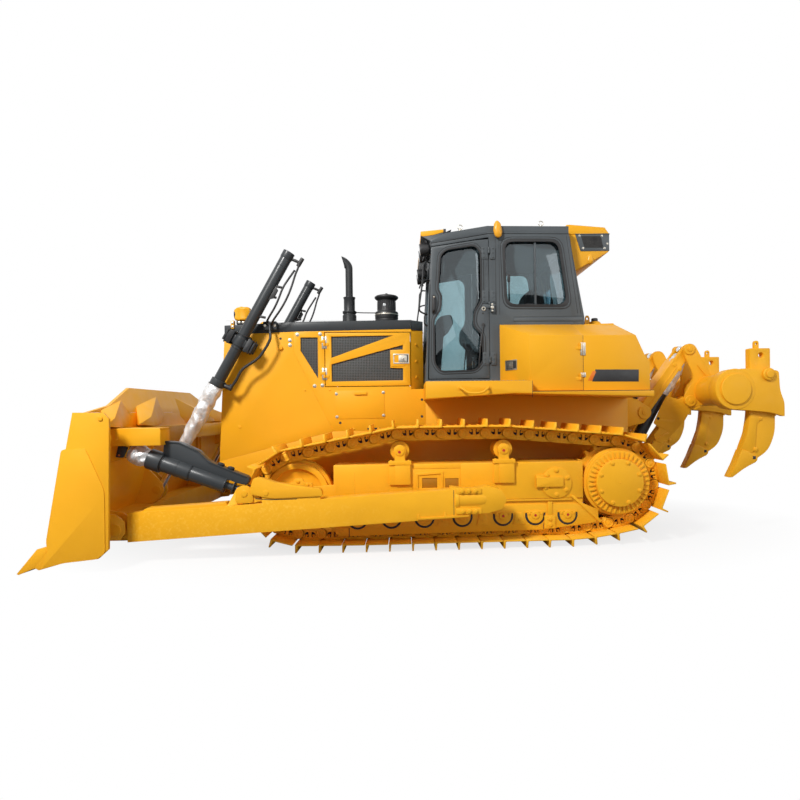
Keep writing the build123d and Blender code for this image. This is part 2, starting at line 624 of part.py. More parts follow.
with BuildPart() as hood:
    slab(PANEL_Y, -PANEL_Y, GUARD_TOP_FRONT, (2243, HOOD_TOP_FRONT_Z), (1525, HOOD_TOP_MID_Z),
         (HOOD_REAR_X - 8, HOOD_TOP_REAR_Z), (HOOD_REAR_X, HOOD_BAND_REAR_Z), GUARD_TOP_REAR)
    slab(PANEL_Y - PANEL, PANEL - PANEL_Y, (2225, 2100), (2225, HOOD_TOP_FRONT_Z - 20),
         (1525, HOOD_TOP_MID_Z - 20), (HOOD_REAR_X + 20, HOOD_TOP_REAR_Z - 20), (HOOD_REAR_X + 20, 2100),
         mode=Mode.SUBTRACT)
save(hood, "hood")


# --------------------------------------------------- exhaust and precleaner
with BuildPart() as exhaust_pipe:
    foot = hood_top(EXHAUST_X) + 1.3
    for z0, z1, radius in ((foot, foot + 30, 90), (foot + 30, 2650, 66)):
        with BuildSketch(Plane.XY.offset(z0)):
            with Locations((EXHAUST_X, 0)):
                Circle(radius)
        extrude(amount=z1 - z0)
    with BuildLine() as tailpipe:
        Line((EXHAUST_X, 0, 2640), (EXHAUST_X, 0, 2985))
        RadiusArc((EXHAUST_X, 0, 2985), (EXHAUST_X + 85, 0, 3098), -105)
    with BuildSketch(Plane.XY.offset(2640)):
        with Locations((EXHAUST_X, 0)):
            Circle(46)
    sweep(path=tailpipe.wire())
save(exhaust_pipe, "exhaust_pipe")

with BuildPart() as precleaner:
    foot = hood_top(PRECLEANER_X) + 0.9
    for z0, z1, radius in ((foot, 2330, 70), (2330, 2450, 120), (2450, 2560, 92), (2560, 2600, 105),
                           (2600, 2655, 132)):
        with BuildSketch(Plane.XY.offset(z0)):
            with Locations((PRECLEANER_X, 0)):
                Circle(radius)
        extrude(amount=z1 - z0)
save(precleaner, "precleaner")

# ------------------------------------------------------------------ the cab
CAB_OUTLINE = (CAB_FRONT_LOW, CAB_FRONT_TOP, (-524, CAB_TOP_Z), (CAB_REAR_TOP_X, CAB_TOP_Z), CAB_REAR_LOW,
               (CAB_REAR_LOW[0], CAB_FLOOR_Z))
CAB_ROOM = ((82, CAB_FLOOR_Z), (4, 2998), (-519, CAB_TOP_Z - CAB_WALL), (-1340, CAB_TOP_Z - CAB_WALL),
            (-1484, 2300), (-1484, CAB_FLOOR_Z))
DOOR_OUTLINE = ((112, 1648), (72, 3030), (-520, 3128), (-540, 3128), (-540, 1648))
DOOR_WINDOW = ((-29, 2940), (-92, 3000), (-390, 3050), (-455, 2976), (-456, 2464), (-381, 2349),
               (-372, 2203), (-466, 2112), (-470, 1833), (-388, 1739), (-21, 1728), (44, 1810),
               (45, 2274), (-29, 2378), (-38, 2523), (-3, 2582))
SIDE_WINDOW = ((-699, 3095), (-1281, 3097), (-1377, 2417), (-721, 2420))
with BuildPart() as cab_frame:
    slab(CAB_Y, -CAB_Y, *CAB_OUTLINE)
    slab(CAB_Y - CAB_WALL, CAB_WALL - CAB_Y, *CAB_ROOM, mode=Mode.SUBTRACT)
    for y in (CAB_Y, CAB_WALL - CAB_Y):
        slab(y, y - CAB_WALL, *DOOR_OUTLINE, mode=Mode.SUBTRACT)
        slab(y, y - CAB_WALL, *SIDE_WINDOW, mode=Mode.SUBTRACT)
    slab(FRONT_GLASS_Y, -FRONT_GLASS_Y, (200, 1850), (200, 2960), (-5, 2960), (-5, 1850), mode=Mode.SUBTRACT)
    slab(REAR_GLASS_Y, -REAR_GLASS_Y, (-1350, 2400), (-1350, 3040), (-1600, 3040), (-1600, 2400), mode=Mode.SUBTRACT)
with BuildPart() as cab_hinges:
    for z in CAB_HINGE_ZS:
        block(CAB_HINGE_X - HINGE_REACH, CAB_HINGE_X - DOOR_GAP, CAB_Y, CAB_Y + CAB_PROUD, z, z + HINGE_LONG)
        knuckle(CAB_HINGE_X, CAB_Y + CAB_PROUD, HINGE_R, z, z + HINGE_LONG, -HINGE_REACH)
    mirror(about=Plane.XZ)
with BuildPart() as cab_shell:
    add(cab_frame.part)
    add(cab_hinges.part)
save(cab_shell, "cab_frame")


def front_line(z, inset):
    """X on the cab's sloped front at a height, inset from its outer face."""
    share = (z - CAB_FLOOR_Z) / (CAB_FRONT_TOP[1] - CAB_FLOOR_Z)
    return CAB_FRONT_LOW[0] + share * (CAB_FRONT_TOP[0] - CAB_FRONT_LOW[0]) - inset


def rear_line(z, inset):
    """X on the cab's sloped rear at a height, inset from its outer face."""
    share = (z - CAB_REAR_LOW[1]) / (CAB_TOP_Z - CAB_REAR_LOW[1])
    return CAB_REAR_LOW[0] + share * (CAB_REAR_TOP_X - CAB_REAR_LOW[0]) + inset


with BuildPart() as cab_glass:
    slab(FRONT_GLASS_Y, -FRONT_GLASS_Y, (front_line(1850, 24), 1850), (front_line(2960, 24), 2960),
         (front_line(2960, 24 + GLASS), 2960), (front_line(1850, 24 + GLASS), 1850))
    slab(REAR_GLASS_Y, -REAR_GLASS_Y, (rear_line(2400, 24), 2400), (rear_line(3040, 24), 3040),
         (rear_line(3040, 24 + GLASS), 3040), (rear_line(2400, 24 + GLASS), 2400))
    for y in (CAB_Y - 24, GLASS + 24 - CAB_Y):
        slab(y, y - GLASS, *SIDE_WINDOW)
save(cab_glass, "cab_glass")

# The leaf's thick edge swings forward under the sloping lintel, so its top is lower at the hinge.
DOOR_LEAF = ((103, 1656), (63, 3022), (-400, 3097), (-521, 3108), (-534, 3108), (-534, 1656))
with BuildPart() as cab_door:
    slab(CAB_Y + CAB_PROUD, CAB_Y - CAB_WALL + 12, *DOOR_LEAF)
    slab(CAB_Y + CAB_PROUD, CAB_Y - CAB_WALL + 12, *DOOR_WINDOW, mode=Mode.SUBTRACT)
    for z in CAB_HINGE_ZS:
        top = z - PIN_FIT
        knuckle(CAB_HINGE_X, CAB_Y + CAB_PROUD, HINGE_R, top - HINGE_LONG, top, HINGE_REACH)
save(cab_door, "cab_door_left")
save(other_side(cab_door), "cab_door_right")
with BuildPart() as door_glass:
    slab(CAB_Y - 16, CAB_Y - 16 - GLASS, *DOOR_WINDOW)
save(door_glass, "cab_door_glass_left")
save(other_side(door_glass), "cab_door_glass_right")

with BuildPart() as cab_roof:
    slab(CAB_Y, -CAB_Y, CAB_FRONT_TOP, (70, 3100), (-92, 3176), (-526, ROOF_TOP_Z), (CAB_REAR_TOP_X, ROOF_TOP_Z),
         (CAB_REAR_TOP_X, CAB_TOP_Z), (-524, CAB_TOP_Z))
    slab(VISOR_Y, -VISOR_Y, (-92, 3176), (70, 3100), (165, 3150), (165, 3195), (-80, 3215))
save(cab_roof, "cab_roof")

with BuildPart() as cab_floor:
    block(CAB_REAR_LOW[0], PANEL_REAR_X, -HULL_Y, HULL_Y, DECK_BOTTOM, CAB_FLOOR_Z)
save(cab_floor, "cab_floor")

with BuildPart() as seat:
    slab(180, -180, (-950, CAB_FLOOR_Z), (-520, CAB_FLOOR_Z), (-560, 1950), (-930, 1950))
    slab(260, -260, (-980, 1950), (-430, 1950), (-430, 2080), (-860, 2080), (-1010, 2720), (-1130, 2700))
save(seat, "seat")

with BuildPart() as control_console:
    slab(330, -330, (-40, CAB_FLOOR_Z), (20, CAB_FLOOR_Z), (0, 2320), (-180, 2400), (-200, 2290), (-90, 2200))
    for y in (460, -340):
        slab(y, y - 120, (-900, CAB_FLOOR_Z), (-430, CAB_FLOOR_Z), (-400, 2180), (-900, 2230))
save(control_console, "control_console")

with BuildPart() as air_conditioner:
    slab(AC_Y, -AC_Y, (CAB_REAR_TOP_X, ROOF_TOP_Z + 40), (-1430, 3300), (-1815, 3268), (-1850, 3205),
         (-1865, 3020), (rear_line(2800, -14), 2800), (rear_line(2800, 0), 2800), (CAB_REAR_TOP_X, CAB_TOP_Z))
save(air_conditioner, "air_conditioner")

# ------------------------------------------------- side boxes, tank and decks
with BuildPart() as side_box:
    with BuildSketch(Plane.XY.offset(BOX_BOTTOM)):
        outline((BOX_FRONT_X, CAB_Y), (BOX_CHAMFER_X, BOX_Y), (BOX_DOOR_X[0], BOX_Y), (BOX_DOOR_X[0], CAB_Y))
    extrude(amount=BOX_TOP_IN - BOX_BOTTOM)
    with BuildSketch(Plane.YZ.offset(BOX_DOOR_X[0])):
        outline((CAB_Y, BOX_TOP_IN), (BOX_Y, BOX_TOP_OUT), (BOX_Y, BOX_TOP_IN))
    extrude(amount=900, mode=Mode.SUBTRACT)
    block(BOX_DOOR_X[0] + BOX_WALL, BOX_DOOR_X[1], CAB_Y + BOX_WALL, BOX_Y, BOX_BOTTOM + BOX_WALL,
          BOX_TOP_OUT - BOX_LINTEL, Mode.SUBTRACT)
    for z in BOX_HINGE_ZS:
        knuckle(BOX_HINGE_X, BOX_Y, HINGE_R, z, z + HINGE_LONG, -BOX_WALL)
save(both_sides(side_box), "side_boxes")

with BuildPart() as box_door:
    block(BOX_DOOR_X[0] + BOX_WALL + DOOR_GAP, BOX_DOOR_X[1] - DOOR_GAP, BOX_Y - BOX_WALL, BOX_Y,
          BOX_BOTTOM + BOX_WALL + DOOR_GAP, BOX_TOP_OUT - BOX_LINTEL - DOOR_GAP)
    for z in BOX_HINGE_ZS:
        top = z - PIN_FIT
        knuckle(BOX_HINGE_X, BOX_Y, HINGE_R, top - HINGE_LONG, top, HINGE_REACH)
save(box_door, "box_door_left")
save(other_side(box_door), "box_door_right")

with BuildPart() as rear_tank:
    slab(BOX_Y, -BOX_Y, (BOX_DOOR_X[0], BOX_BOTTOM), (BOX_DOOR_X[0], BOX_TOP_IN), TANK_SHOULDER,
         (-2030, 1850), (TANK_REAR_X, 1780), (TANK_REAR_X, BOX_BOTTOM))
    for side in (1, -1):
        with BuildSketch(Plane.YZ.offset(BOX_DOOR_X[0] + 50)):
            outline((side * CAB_Y, BOX_TOP_IN), (side * (BOX_Y + 5), BOX_TOP_OUT - 2), (side * (BOX_Y + 5), 2400),
                    (side * CAB_Y, 2400))
        extrude(amount=-900, mode=Mode.SUBTRACT)
    block(CAB_REAR_LOW[0], BOX_DOOR_X[0], -CAB_Y, CAB_Y, BOX_BOTTOM, 2400, Mode.SUBTRACT)
save(rear_tank, "rear_tank")

with BuildPart() as decks:
    with BuildSketch(Plane.XY.offset(DECK_BOTTOM)):
        outline((152, HULL_Y), (152, DECK_Y), (BOX_CHAMFER_X, DECK_Y), (BOX_CHAMFER_X, BOX_Y),
                (BOX_FRONT_X, CAB_Y), (BOX_FRONT_X, HULL_Y))
    extrude(amount=CAB_FLOOR_Z - DECK_BOTTOM)
    slab(DECK_Y, HULL_Y, (152, DECK_BOTTOM), (152, FENDER_BOTTOM), (-700, FENDER_BOTTOM + 45),
         (TANK_REAR_X, FENDER_BOTTOM), (TANK_REAR_X, DECK_BOTTOM))
save(both_sides(decks), "decks")

# ----------------------------------------------------------- blade lift yokes
with BuildPart() as lift_yokes:
    disc(LIFT_YOKE, 95, LIFT_Y - YOKE_HALF - 5, PANEL_Y)
    disc(LIFT_YOKE, YOKE_PIN_R, LIFT_Y - LIFT_BARREL_R - 8, PANEL_Y)
save(both_sides(lift_yokes), "lift_yokes")

with BuildPart() as lift_barrel:
    rod(LIFT_EYE, LIFT_YOKE, LIFT_Y, LIFT_BARREL_R, LIFT_GLAND, LIFT_TOP)
    rod(LIFT_EYE, LIFT_YOKE, LIFT_Y, 72, LIFT_GLAND, LIFT_GLAND + 60)
    with Locations(Location((LIFT_YOKE[0], LIFT_Y, LIFT_YOKE[1]), (0, LIFT_TILT, 0))):
        Box(170, 2 * YOKE_HALF, 180)
    disc(LIFT_YOKE, YOKE_PIN_R + PIN_FIT, LIFT_Y - LIFT_BARREL_R - 7, LIFT_Y - YOKE_HALF - 1, Mode.SUBTRACT)
    rod(LIFT_EYE, LIFT_YOKE, LIFT_Y, LIFT_ROD_R + PIN_FIT, LIFT_GLAND - 10, LIFT_TOP - 40, Mode.SUBTRACT)
save(both_sides(lift_barrel), "lift_barrels")

with BuildPart() as lift_rod:
    rod(LIFT_EYE, LIFT_YOKE, LIFT_Y, LIFT_ROD_R, 40, LIFT_GLAND + 500)
    disc(LIFT_EYE, 50, LIFT_Y + 34, LIFT_Y - 34)
save(both_sides(lift_rod), "lift_rods")

# ----------------------------------------------------------------- push arms
def arm_line(x, lift=0):
    """Point on the push arm's centre line at x, raised by lift."""
    share = (x - ARM_PIVOT[0]) / (ARM_PIN[0] - ARM_PIVOT[0])
    return (x, ARM_REAR_Z + share * (ARM_FRONT_Z - ARM_REAR_Z) + lift)


with BuildPart() as push_arm:
    half = ARM_HEIGHT / 2
    slab(ARM_Y_OUT, ARM_Y_IN, arm_line(-60, half), arm_line(2810, half), arm_line(2810, -half), arm_line(-60, -half))
    slab(ARM_Y_OUT, ARM_Y_IN, (-50, 625), (-220, 600), (-391, 628), (-520, 590), (-565, 500), (-520, 420),
         (-391, 385), (-50, 366))
    disc(ARM_PIVOT, ARM_SHAFT_R + PIN_FIT, ARM_Y_OUT - 58, ARM_Y_IN, Mode.SUBTRACT)
    slab(ARM_Y_OUT - 45, ARM_Y_IN + 45, arm_line(2810, 105), (2916, 395), (2990, 350), (2990, 270), (2916, 225),
         arm_line(2810, -105))
    for y in (TILT_Y + 65, TILT_Y - 40):
        slab(y, y - 25, (1950, 500), (1860, 660), (1780, 675), (1720, 640), (1640, 530))
    disc(TILT_BASE, TILT_PIN_R, TILT_Y + 50, TILT_Y - 50)
    disc(ARM_PIN, ARM_PIN_R + PIN_FIT, ARM_Y_OUT, ARM_Y_IN, Mode.SUBTRACT)
    slab(ARM_Y_OUT, TILT_Y + 12, (1640, 560), (1640, 720), (1124, 632), (1124, 530), (1300, 520), (1640, 500))
save(push_arm, "push_arm_left")
save(other_side(push_arm), "push_arm_right")

with BuildPart() as tilt_barrel:
    rod(TILT_BASE, TILT_LUG, TILT_Y, 30, 40, TILT_NECK)
    rod(TILT_BASE, TILT_LUG, TILT_Y, TILT_BARREL_R, TILT_NECK, TILT_GLAND)
    disc(TILT_BASE, 62, TILT_Y + 34, TILT_Y - 34)
    disc(TILT_BASE, TILT_PIN_R + PIN_FIT, TILT_Y + 34, TILT_Y - 34, Mode.SUBTRACT)
    rod(TILT_BASE, TILT_LUG, TILT_Y, TILT_ROD_R + PIN_FIT, TILT_NECK + 30, TILT_GLAND + 5, Mode.SUBTRACT)
save(both_sides(tilt_barrel), "tilt_barrels")

with BuildPart() as tilt_rod:
    rod(TILT_BASE, TILT_LUG, TILT_Y, TILT_ROD_R, 420, TILT_LENGTH - 40)
    disc(TILT_LUG, 58, TILT_Y + 30, TILT_Y - 30)
save(both_sides(tilt_rod), "tilt_rods")


# ---------------------------------------------------------------- the blade
with BuildPart() as moldboard:
    face = face_section(WING_Y, -WING_SWEEP)
    extrude(face, amount=2 * WING_Y)
    for side in (1, -1):
        extrude(face_section(side * WING_Y, -WING_SWEEP), amount=hypot(WING, WING_SWEEP),
                dir=(WING_SWEEP, side * WING, 0))
        top_y, low_y = sorted((side * BLADE_Y, side * (BLADE_Y - END_PLATE)), reverse=True)
        slab(top_y, low_y, *END_OUTLINE)
    for low, high, rear in BACK_BOXES:
        slab(BACK_Y, -BACK_Y, (rear, low), (rear, high), (back_line(high), high), (back_line(low), low))
    for y in LUG_YS:
        slab(y + 12, y - 12, (back_line(1100), 1100), (2950, 1100), (2950, 760), (2830, 625), (2812, 540),
             (2850, 470), (2950, 410), (back_line(400), 400))
    for side in (1, -1):
        for y in (side * (ARM_Y_OUT - 15), side * (ARM_Y_IN + 15)):
            slab(y + 14, y - 14, (back_line(480) + 40, 480), (2916, 440), (2836, 380), (2830, 280), (2880, 215),
                 (back_line(215) + 40, 215))
        disc(ARM_PIN, ARM_PIN_R, side * ARM_MIDDLE + 75, side * ARM_MIDDLE - 75)
        for y in (side * (TILT_Y + 55), side * (TILT_Y - 55)):
            slab(y + 12, y - 12, (back_line(SHELF_Z) + 40, SHELF_Z), (2800, SHELF_Z), (2795, 980), (2840, 945),
                 (back_line(880) + 40, 880))
save(moldboard, "moldboard")

with BuildPart() as cutting_edge:
    edge = edge_section(WING_Y, -WING_SWEEP)
    extrude(edge, amount=2 * WING_Y)
    for side in (1, -1):
        extrude(edge_section(side * WING_Y, -WING_SWEEP), amount=hypot(WING, WING_SWEEP),
                dir=(WING_SWEEP, side * WING, 0))
save(cutting_edge, "cutting_edge")

with BuildPart() as spill_guard:
    rear = FACE_TOP[0] - WING_SWEEP - FACE_PLATE
    slab(BLADE_Y - 40, 40 - BLADE_Y, (rear, GUARD_BASE_Z), (rear + FACE_PLATE, GUARD_BASE_Z),
         (rear + FACE_PLATE + GUARD_LEAN, GUARD_TOP_Z), (rear + GUARD_LEAN, GUARD_TOP_Z))
    with BuildSketch(Plane.YZ.offset(rear - 10)) as guard_face:
        outline((-BLADE_Y + 40, GUARD_BASE_Z), (-1390, 1409), (-850, GUARD_TOP_Z), (850, GUARD_TOP_Z), (1390, 1409),
                (BLADE_Y - 40, GUARD_BASE_Z))
    extrude(guard_face.sketch, amount=FACE_PLATE + GUARD_LEAN + 20, mode=Mode.INTERSECT)
    for place, top in GUSSETS:
        share = (top - GUARD_BASE_Z) / (GUARD_TOP_Z - GUARD_BASE_Z)
        for y in (place, -place):
            slab(y + 10, y - 10, (rear + share * GUARD_LEAN, top), (2880, GUARD_BASE_Z), (rear, GUARD_BASE_Z))
save(spill_guard, "spill_guard")

with BuildPart() as blade_shelf:
    block(2500, 2980, SHELF_Y_IN, SHELF_Y_OUT, SHELF_Z, SHELF_Z + SHELF)
    block(2500, 2960, SHELF_Y_OUT - SHELF, SHELF_Y_OUT, 1050, SHELF_Z)
save(both_sides(blade_shelf), "tilt_cylinder_guards")

# --------------------------------------------------------------- the ripper
with BuildPart() as ripper_mount:
    for y in RIP_CHEEK_YS:
        slab(y + RIP_PLATE / 2, y - RIP_PLATE / 2, (HULL_REAR, 1450), (-2200, 1420), (-2330, 1330), (-2345, 1240),
             (-2270, 1160), (HULL_REAR, 1120))
        slab(y + RIP_PLATE / 2, y - RIP_PLATE / 2, (HULL_REAR, 1010), (-2200, 960), (-2270, 850), (-2360, 740),
             (-2350, 660), (-2280, 620), (HULL_REAR, 560))
    top, low = RIP_CHEEK_YS[1] - RIP_PLATE / 2, RIP_CHEEK_YS[0] + RIP_PLATE / 2
    disc(RIP_A, RIP_PIN_R, top, RIP_LINK_YS[1] - PIN_REACH)
    disc(RIP_A, RIP_PIN_R, RIP_LINK_YS[0] + PIN_REACH, low)
    disc(RIP_B, RIP_PIN_R, top, low)
    disc(RIP_E, RIP_PIN_R, top, low)
save(both_sides(ripper_mount), "ripper_mount")

with BuildPart() as ripper_lower_link:
    for y in RIP_LINK_YS:
        bar(RIP_A, RIP_D, LINK_DEPTH, y + RIP_LINK / 2, y - RIP_LINK / 2)
        disc(RIP_A, RIP_PIN_R + PIN_FIT, y + RIP_LINK / 2, y - RIP_LINK / 2, Mode.SUBTRACT)
        disc(RIP_D, RIP_PIN_R + PIN_FIT, y + RIP_LINK / 2, y - RIP_LINK / 2, Mode.SUBTRACT)
save(both_sides(ripper_lower_link), "ripper_lower_links")

with BuildPart() as ripper_upper_link:
    for y in RIP_LINK_YS:
        bar(RIP_B, RIP_C, LINK_DEPTH, y + RIP_LINK / 2, y - RIP_LINK / 2)
        disc(RIP_B, RIP_PIN_R + PIN_FIT, y + RIP_LINK / 2, y - RIP_LINK / 2, Mode.SUBTRACT)
        disc(RIP_C, RIP_PIN_R + PIN_FIT, y + RIP_LINK / 2, y - RIP_LINK / 2, Mode.SUBTRACT)
save(both_sides(ripper_upper_link), "ripper_upper_links")

with BuildPart() as ripper_beam:
    disc(RIP_BEAM, RIP_BEAM_R, RIP_BEAM_Y, -RIP_BEAM_Y)
    for side in (1, -1):
        for cheek in RIP_CHEEK_YS:
            y = side * cheek
            slab(y + RIP_PLATE / 2, y - RIP_PLATE / 2, (-2740, 2030), (-2850, 2030), (-3060, 1640), (-3010, 1360),
                 (-2830, 1330), (-2740, 1360), (-2740, 1470), (-2860, 1640), (-2730, 1920))
        for link_y in RIP_LINK_YS:
            for pin in (RIP_C, RIP_D):
                disc(pin, RIP_PIN_R, side * link_y + PIN_REACH, side * link_y - PIN_REACH)
    for y in SHANK_YS:
        for side in (1, -1):
            middle = y + side * (SHANK_WIDTH + HOLDER_PLATE) / 2
            slab(middle + HOLDER_PLATE / 2, middle - HOLDER_PLATE / 2, *HOLDER_OUTLINE)
        block(HOLDER_WEB_X, HOLDER_OUTLINE[-1][0], y - SHANK_WIDTH / 2, y + SHANK_WIDTH / 2, 1300, 1690)
save(ripper_beam, "ripper_beam")

for name, y in zip(("left", "middle", "right"), SHANK_YS):
    with BuildPart() as shank:
        slab(y + SHANK_WIDTH / 2, y - SHANK_WIDTH / 2, *SHANK_OUTLINE)
        disc(SHANK_EYE, 34, y + SHANK_WIDTH / 2, y - SHANK_WIDTH / 2, Mode.SUBTRACT)
    save(shank, f"ripper_shank_{name}")

with BuildPart() as ripper_barrel:
    rod(RIP_E, RIP_C, RIP_CYL_Y, RIP_BARREL_R, 60, RIP_GLAND)
    disc(RIP_E, 68, RIP_CYL_Y + 50, RIP_CYL_Y - 50)
    disc(RIP_E, RIP_PIN_R + PIN_FIT, RIP_CYL_Y + 50, RIP_CYL_Y - 50, Mode.SUBTRACT)
    rod(RIP_E, RIP_C, RIP_CYL_Y, RIP_ROD_R + PIN_FIT, 110, RIP_GLAND + 5, Mode.SUBTRACT)
save(both_sides(ripper_barrel), "ripper_barrels")

with BuildPart() as ripper_rod:
    rod(RIP_E, RIP_C, RIP_CYL_Y, RIP_ROD_R, RIP_GLAND - 150, RIP_LENGTH - 40)
    disc(RIP_C, 60, RIP_CYL_Y + 45, RIP_CYL_Y - 45)
save(both_sides(ripper_rod), "ripper_rods")
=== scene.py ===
"""Looks of the crawler bulldozer: rounded skins, shod tracks, trim, materials, light and camera."""
import json
import random
from math import acos, asin, atan2, ceil, cos, degrees, hypot, pi, radians, sin, sqrt

import bmesh
import bpy
from mathutils import Matrix, Vector, noise
from mathutils.geometry import tessellate_polygon


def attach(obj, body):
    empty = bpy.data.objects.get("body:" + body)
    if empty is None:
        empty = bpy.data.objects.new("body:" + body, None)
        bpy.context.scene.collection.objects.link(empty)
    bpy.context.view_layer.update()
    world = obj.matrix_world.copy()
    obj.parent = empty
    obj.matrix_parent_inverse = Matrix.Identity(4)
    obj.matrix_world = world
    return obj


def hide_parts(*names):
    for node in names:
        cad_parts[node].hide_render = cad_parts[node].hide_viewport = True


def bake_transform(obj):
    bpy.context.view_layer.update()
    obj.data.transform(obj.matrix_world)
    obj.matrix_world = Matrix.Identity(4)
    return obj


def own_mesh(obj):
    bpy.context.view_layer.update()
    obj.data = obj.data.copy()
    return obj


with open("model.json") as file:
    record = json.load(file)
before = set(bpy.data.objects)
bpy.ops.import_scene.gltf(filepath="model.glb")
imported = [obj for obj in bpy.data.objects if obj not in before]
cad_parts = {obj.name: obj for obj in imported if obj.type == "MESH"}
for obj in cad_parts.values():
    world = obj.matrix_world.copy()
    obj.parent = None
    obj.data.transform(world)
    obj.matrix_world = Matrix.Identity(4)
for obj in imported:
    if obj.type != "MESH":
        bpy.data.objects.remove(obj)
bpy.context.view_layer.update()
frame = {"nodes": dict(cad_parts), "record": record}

MM = 0.001
LEFT, RIGHT = 1, -1


# ------------------------------------------------------------------ materials
class Shader:
    """A material's node tree, written from the outside in."""

    def __init__(self, name):
        self.material = bpy.data.materials.new(name)
        self.material.use_nodes = True
        self.nodes = self.material.node_tree.nodes
        self.links = self.material.node_tree.links
        self.surface = self.nodes["Principled BSDF"]
        self.place = self.node("ShaderNodeTexCoord").outputs["Object"]

    def node(self, kind, **settings):
        made = self.nodes.new(kind)
        for key, value in settings.items():
            setattr(made, key, value)
        return made

    def noise(self, scale, detail=3.0, stretch=None):
        made = self.node("ShaderNodeTexNoise")
        made.inputs["Scale"].default_value = scale
        made.inputs["Detail"].default_value = detail
        place = self.place
        if stretch:
            mapping = self.node("ShaderNodeMapping")
            mapping.inputs["Scale"].default_value = stretch
            self.links.new(place, mapping.inputs["Vector"])
            place = mapping.outputs["Vector"]
        self.links.new(place, made.inputs["Vector"])
        return made.outputs["Fac"]

    def remap(self, value, low, high, to_low, to_high):
        made = self.node("ShaderNodeMapRange")
        for key, number in zip(("From Min", "From Max", "To Min", "To Max"), (low, high, to_low, to_high)):
            made.inputs[key].default_value = number
        self.links.new(value, made.inputs["Value"])
        return made.outputs["Result"]

    def times(self, a, b):
        made = self.node("ShaderNodeMath", operation="MULTIPLY")
        for socket, value in zip(made.inputs, (a, b)):
            if isinstance(value, (int, float)):
                socket.default_value = value
            else:
                self.links.new(value, socket)
        return made.outputs["Value"]

    def mix(self, share, a, b):
        made = self.node("ShaderNodeMix", data_type="RGBA")
        self.links.new(share, made.inputs["Factor"])
        for socket, colour in ((made.inputs[6], a), (made.inputs[7], b)):
            if isinstance(colour, tuple):
                socket.default_value = (*colour, 1)
            else:
                self.links.new(colour, socket)
        return made.outputs[2]

    def edge(self):
        """Share of a rounded edge that shows at a point."""
        return self.node("ShaderNodeAttribute", attribute_name="edge").outputs["Fac"]

    def up(self):
        """How far a face looks upwards, 0 to 1."""
        parts = self.node("ShaderNodeSeparateXYZ")
        self.links.new(self.node("ShaderNodeNewGeometry").outputs["Normal"], parts.inputs[0])
        return self.remap(parts.outputs["Z"], 0.2, 0.95, 0, 1)

    def bump(self, height, distance, strength=0.5, then=None):
        made = self.node("ShaderNodeBump")
        made.inputs["Strength"].default_value = strength
        made.inputs["Distance"].default_value = distance
        self.links.new(height, made.inputs["Height"])
        if then:
            self.links.new(then, made.inputs["Normal"])
        return made.outputs["Normal"]

    def finish(self, colour, roughness, normal=None, **constants):
        for key, value in (("Base Color", colour), ("Roughness", roughness), ("Normal", normal)):
            if value is None:
                continue
            if isinstance(value, tuple):
                self.surface.inputs[key].default_value = (*value, 1)
            elif isinstance(value, (int, float)):
                self.surface.inputs[key].default_value = value
            else:
                self.links.new(value, self.surface.inputs[key])
        for key, value in constants.items():
            self.surface.inputs[key.replace("_", " ")].default_value = value
        return self.material


SHEEN = 0.28  # specular level of every painted surface


def paint(name, colour, shade, dust, roughness=0.44, orange_peel=0.0002, edge_highlight_share=0.2, coat=0.04):
    """Enamel: slow colour variation, a little dust on top faces, rounded edges lightened in noisy patches as a painted
    highlight, and orange peel.
    """
    s = Shader(name)
    tone = s.mix(s.remap(s.noise(1.7, 4), 0.35, 0.65, 0, 1), colour, shade)
    dusty = s.times(s.up(), s.remap(s.noise(5.0, 6), 0.4, 0.75, 0, 0.12))
    tone = s.mix(dusty, tone, dust)
    # painted highlight: rounded edges get a lighter tone of the paint in noisy patches
    edge_highlight = s.times(s.edge(), s.remap(s.noise(60.0, 4), 0.5, 0.72, 0, edge_highlight_share))
    tone = s.mix(edge_highlight, tone, tuple(min(1, 1.25 * c + 0.04) for c in colour))
    fine = s.remap(s.noise(9.0, 5), 0.3, 0.7, roughness - 0.05, roughness + 0.08)
    normal = s.bump(s.noise(220.0, 2), orange_peel, 0.25)
    return s.finish(tone, fine, normal, Coat_Weight=coat, Coat_Roughness=0.15, Specular_IOR_Level=SHEEN)


def casting(name, colour, shade, dust, roughness=0.5):
    """Painted rough casting: pebbled bump, patchy tone, a little dust on top faces, rounded edges lightened in noisy
    patches as a painted highlight.
    """
    s = Shader(name)
    pebble = s.noise(150.0, 4)
    tone = s.mix(s.remap(s.noise(3.1, 5), 0.35, 0.68, 0, 1), colour, shade)
    tone = s.mix(s.times(s.up(), s.remap(s.noise(7.0, 6), 0.4, 0.75, 0, 0.15)), tone, dust)
    # painted highlight: rounded edges get a lighter tone of the casting's colour in noisy patches
    edge_highlight = s.times(s.edge(), s.remap(s.noise(45.0, 4), 0.5, 0.7, 0, 0.45))
    tone = s.mix(edge_highlight, tone, tuple(min(1, 1.2 * c + 0.06) for c in colour))
    normal = s.bump(pebble, 0.0006, 0.3)
    return s.finish(tone, s.remap(s.noise(12.0, 4), 0.3, 0.7, roughness - 0.08, roughness + 0.12), normal,
                    Specular_IOR_Level=SHEEN)


def metal(name, colour, shade, roughness, metallic=1.0, brushed=(1, 1, 1), scale=40.0, bump=0.0003):
    """Bare or plated metal with brushed streaks and stains."""
    s = Shader(name)
    tone = s.mix(s.remap(s.noise(scale * 0.2, 5), 0.35, 0.7, 0, 1), colour, shade)
    streaks = s.noise(scale, 4, brushed)
    rough = s.remap(streaks, 0.3, 0.7, roughness - 0.06, roughness + 0.1)
    return s.finish(tone, rough, s.bump(streaks, bump, 0.4), Metallic=metallic)


